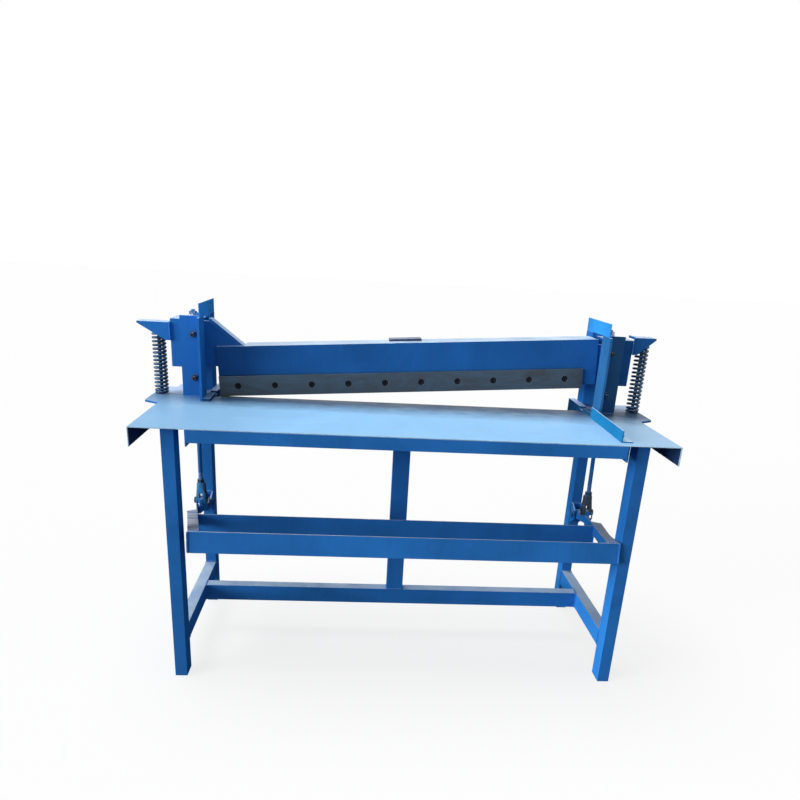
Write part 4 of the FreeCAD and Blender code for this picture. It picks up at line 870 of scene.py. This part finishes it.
def weld_treadle(welds):
    pivot = Vector(joints["treadle_swing"]["pos_m"])
    place = Matrix.Translation(pivot) @ Matrix.Rotation(-TREADLE_TILT, 4, "X")

    def seam(start, end, radius=PLATE_BEAD):
        welds.seam("treadle", place @ Vector(start), place @ Vector(end), radius)

    low, high = box_in(place, "treadle_front_bar")
    for x in (low.x, high.x):
        seam((x, low.y, low.z), (x, low.y, high.z), RAIL_BEAD)
    for side, _ in SIDES:
        outer = inner_outer(side, low, high)[1]
        seam((outer, high.y, high.z), (outer - side * TREADLE_ARM_LEG, high.y, high.z))
    low, high = box_in(place, "treadle_rear_bar")
    for x in (low.x, high.x):
        for y in (low.y, high.y):
            seam((x, y, low.z), (x, y, high.z))
    for _, name in SIDES:
        low, high = box_in(place, "treadle_lever_" + name)
        for x in (low.x, high.x):
            seam((x, low.y, high.z - 0.032), (x, low.y, high.z - 0.002))


def weld_beam_top(welds):
    """Along the top of the beam's web, where the riser meets it from behind."""
    points = [v.co for v in nodes["beam_angle"].data.vertices]
    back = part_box("beam_riser_left")[0].y
    ends = (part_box("beam_angle")[0].x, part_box("beam_riser_flange")[1].x)
    top = [max(p.z for p in points if abs(p.x - x) < 0.012 and p.y < back + 0.001) for x in ends]
    welds.seam("blade_beam", (ends[0], back, top[0]), (ends[1], back, top[1]), FLANGE_BEAD)


def add_welds():
    welds = Welds()
    for side, name in SIDES:
        weld_legs(welds, side, name)
    low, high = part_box("centre_post")
    welds.around(low, high, low.z)
    welds.under_sheet(low, high)
    for side, name in SIDES:
        weld_guides(welds, side, name)
        weld_pivot_bracket(welds, name)
        weld_slide(welds, side, name)
    weld_treadle(welds)
    weld_beam_top(welds)
    welds.build()


# Light, floor and camera

WORLD_LEVEL = 0.16
FLOOR_GLOW = 0.80
FLOOR_SEEN, FLOOR_BOUNCE = (0.80, 0.80, 0.80, 1), (0.15, 0.16, 0.17, 1)
FLOOR_REACH = 30.0


def any_ray(tree, *kinds):
    """1 for the named kinds of ray, 0 for all others."""
    rays = tree.nodes.new("ShaderNodeLightPath")
    share = rays.outputs[kinds[0]]
    for kind in kinds[1:]:
        either = tree.nodes.new("ShaderNodeMath")
        either.operation = "MAXIMUM"
        tree.links.new(share, either.inputs[0])
        tree.links.new(rays.outputs[kind], either.inputs[1])
        share = either.outputs[0]
    return share


def mix_shaders(tree, share, a, b, out_kind):
    """The two shaders mixed by the share, linked to the tree's output."""
    mixed = tree.nodes.new("ShaderNodeMixShader")
    out = tree.nodes.new(out_kind)
    tree.links.new(share, mixed.inputs[0])
    tree.links.new(a.outputs[0], mixed.inputs[1])
    tree.links.new(b.outputs[0], mixed.inputs[2])
    tree.links.new(mixed.outputs[0], out.inputs["Surface"])


def add_world():
    """White to the eye and in reflections, a soft grey sky to everything else."""
    world = bpy.data.worlds.new("studio")
    bpy.context.scene.world = world
    world.use_nodes = True
    tree = world.node_tree
    tree.nodes.clear()
    clear = any_ray(tree, "Is Camera Ray", "Is Glossy Ray", "Is Transmission Ray")
    soft = tree.nodes.new("ShaderNodeBackground")
    soft.inputs["Color"].default_value = (0.90, 0.95, 1.0, 1)
    soft.inputs["Strength"].default_value = WORLD_LEVEL
    white = tree.nodes.new("ShaderNodeBackground")
    white.inputs["Color"].default_value = (1, 1, 1, 1)
    white.inputs["Strength"].default_value = 1.0
    mix_shaders(tree, clear, soft, white, "ShaderNodeOutputWorld")


# Name, direction towards the light, strength, spread in degrees, colour
SUNS = (
    ("side_light_left", (-0.90, -0.38, 0.15), 3.5, 40, (0.97, 0.98, 1.0)),
    ("top_light", (-0.20, 0.10, 0.97), 2.60, 45, (1.0, 0.99, 0.98)),
    ("fill_from_right", (0.85, -0.25, 0.30), 0.30, 60, (0.97, 0.98, 1.0)),
)


def add_sun(name, towards, strength, spread, colour):
    light = bpy.data.lights.new(name, "SUN")
    light.energy = strength
    light.angle = math.radians(spread)
    light.color = colour
    thing = bpy.data.objects.new(name, light)
    thing.rotation_mode = "QUATERNION"
    thing.rotation_quaternion = Vector(towards).normalized().to_track_quat("Z", "Y")
    bpy.context.scene.collection.objects.link(thing)


def add_floor():
    """A plain pale floor that keeps the machine's soft shadow and is white to the eye."""
    mesh = bpy.data.meshes.new("floor")
    corners = [(x * FLOOR_REACH, y * FLOOR_REACH, 0) for x, y in
               ((-1, -1), (1, -1), (1, 1), (-1, 1))]
    mesh.from_pydata(corners, [], [(0, 1, 2, 3)])
    floor = bpy.data.objects.new("floor", mesh)
    bpy.context.scene.collection.objects.link(floor)
    material = bpy.data.materials.new("pale_floor")
    material.use_nodes = True
    tree = material.node_tree
    tree.nodes.clear()
    share = tree.nodes.new("ShaderNodeMath")
    share.operation = "MULTIPLY"
    share.inputs[1].default_value = FLOOR_GLOW
    tree.links.new(any_ray(tree, "Is Camera Ray", "Is Glossy Ray"), share.inputs[0])
    matt = tree.nodes.new("ShaderNodeBsdfDiffuse")
    shade = tree.nodes.new("ShaderNodeMix")
    shade.data_type = "RGBA"
    shade.inputs[6].default_value = FLOOR_BOUNCE
    shade.inputs[7].default_value = FLOOR_SEEN
    tree.links.new(any_ray(tree, "Is Camera Ray"), shade.inputs[0])
    tree.links.new(shade.outputs[2], matt.inputs["Color"])
    glow = tree.nodes.new("ShaderNodeEmission")
    glow.inputs["Color"].default_value = (1, 1, 1, 1)
    mix_shaders(tree, share.outputs[0], matt, glow, "ShaderNodeOutputMaterial")
    mesh.materials.append(material)


CAMERA = {"spot": (-0.16404, -2.35285, 1.38450), "yaw": 0.0744, "pitch": -0.3519, "roll": 0.0570,
          "focal_px": 701.63, "centre_px": (398.73, 506.88)}
PICTURE = 800
SENSOR = 36.0


def add_camera():
    data = bpy.data.cameras.new("photo_camera")
    data.sensor_fit = "HORIZONTAL"
    data.sensor_width = SENSOR
    data.lens = CAMERA["focal_px"] / PICTURE * SENSOR
    data.shift_x = (PICTURE / 2 - CAMERA["centre_px"][0]) / PICTURE
    data.shift_y = (CAMERA["centre_px"][1] - PICTURE / 2) / PICTURE
    data.clip_start, data.clip_end = 0.05, 200
    yaw, pitch, roll = CAMERA["yaw"], CAMERA["pitch"], CAMERA["roll"]
    ahead = Vector((math.sin(yaw) * math.cos(pitch), math.cos(yaw) * math.cos(pitch),
                    math.sin(pitch)))
    right = Vector((math.cos(yaw), -math.sin(yaw), 0))
    up = right.cross(ahead)
    right, up = (right * math.cos(roll) + up * math.sin(roll),
                 up * math.cos(roll) - right * math.sin(roll))
    turned = Matrix((right, up, -ahead)).transposed().to_4x4()
    camera = bpy.data.objects.new("photo_camera", data)
    camera.matrix_world = Matrix.Translation(CAMERA["spot"]) @ turned
    bpy.context.scene.collection.objects.link(camera)
    bpy.context.scene.camera = camera


dress_nodes()
add_springs()
add_gib_screws()
add_pull_rods()
add_clevis_forks()
add_clevis_pins()
add_fence_screws()
add_welds()

add_world()
for light in SUNS:
    add_sun(*light)
add_floor()
add_camera()
bpy.context.scene.view_settings.view_transform = "Standard"
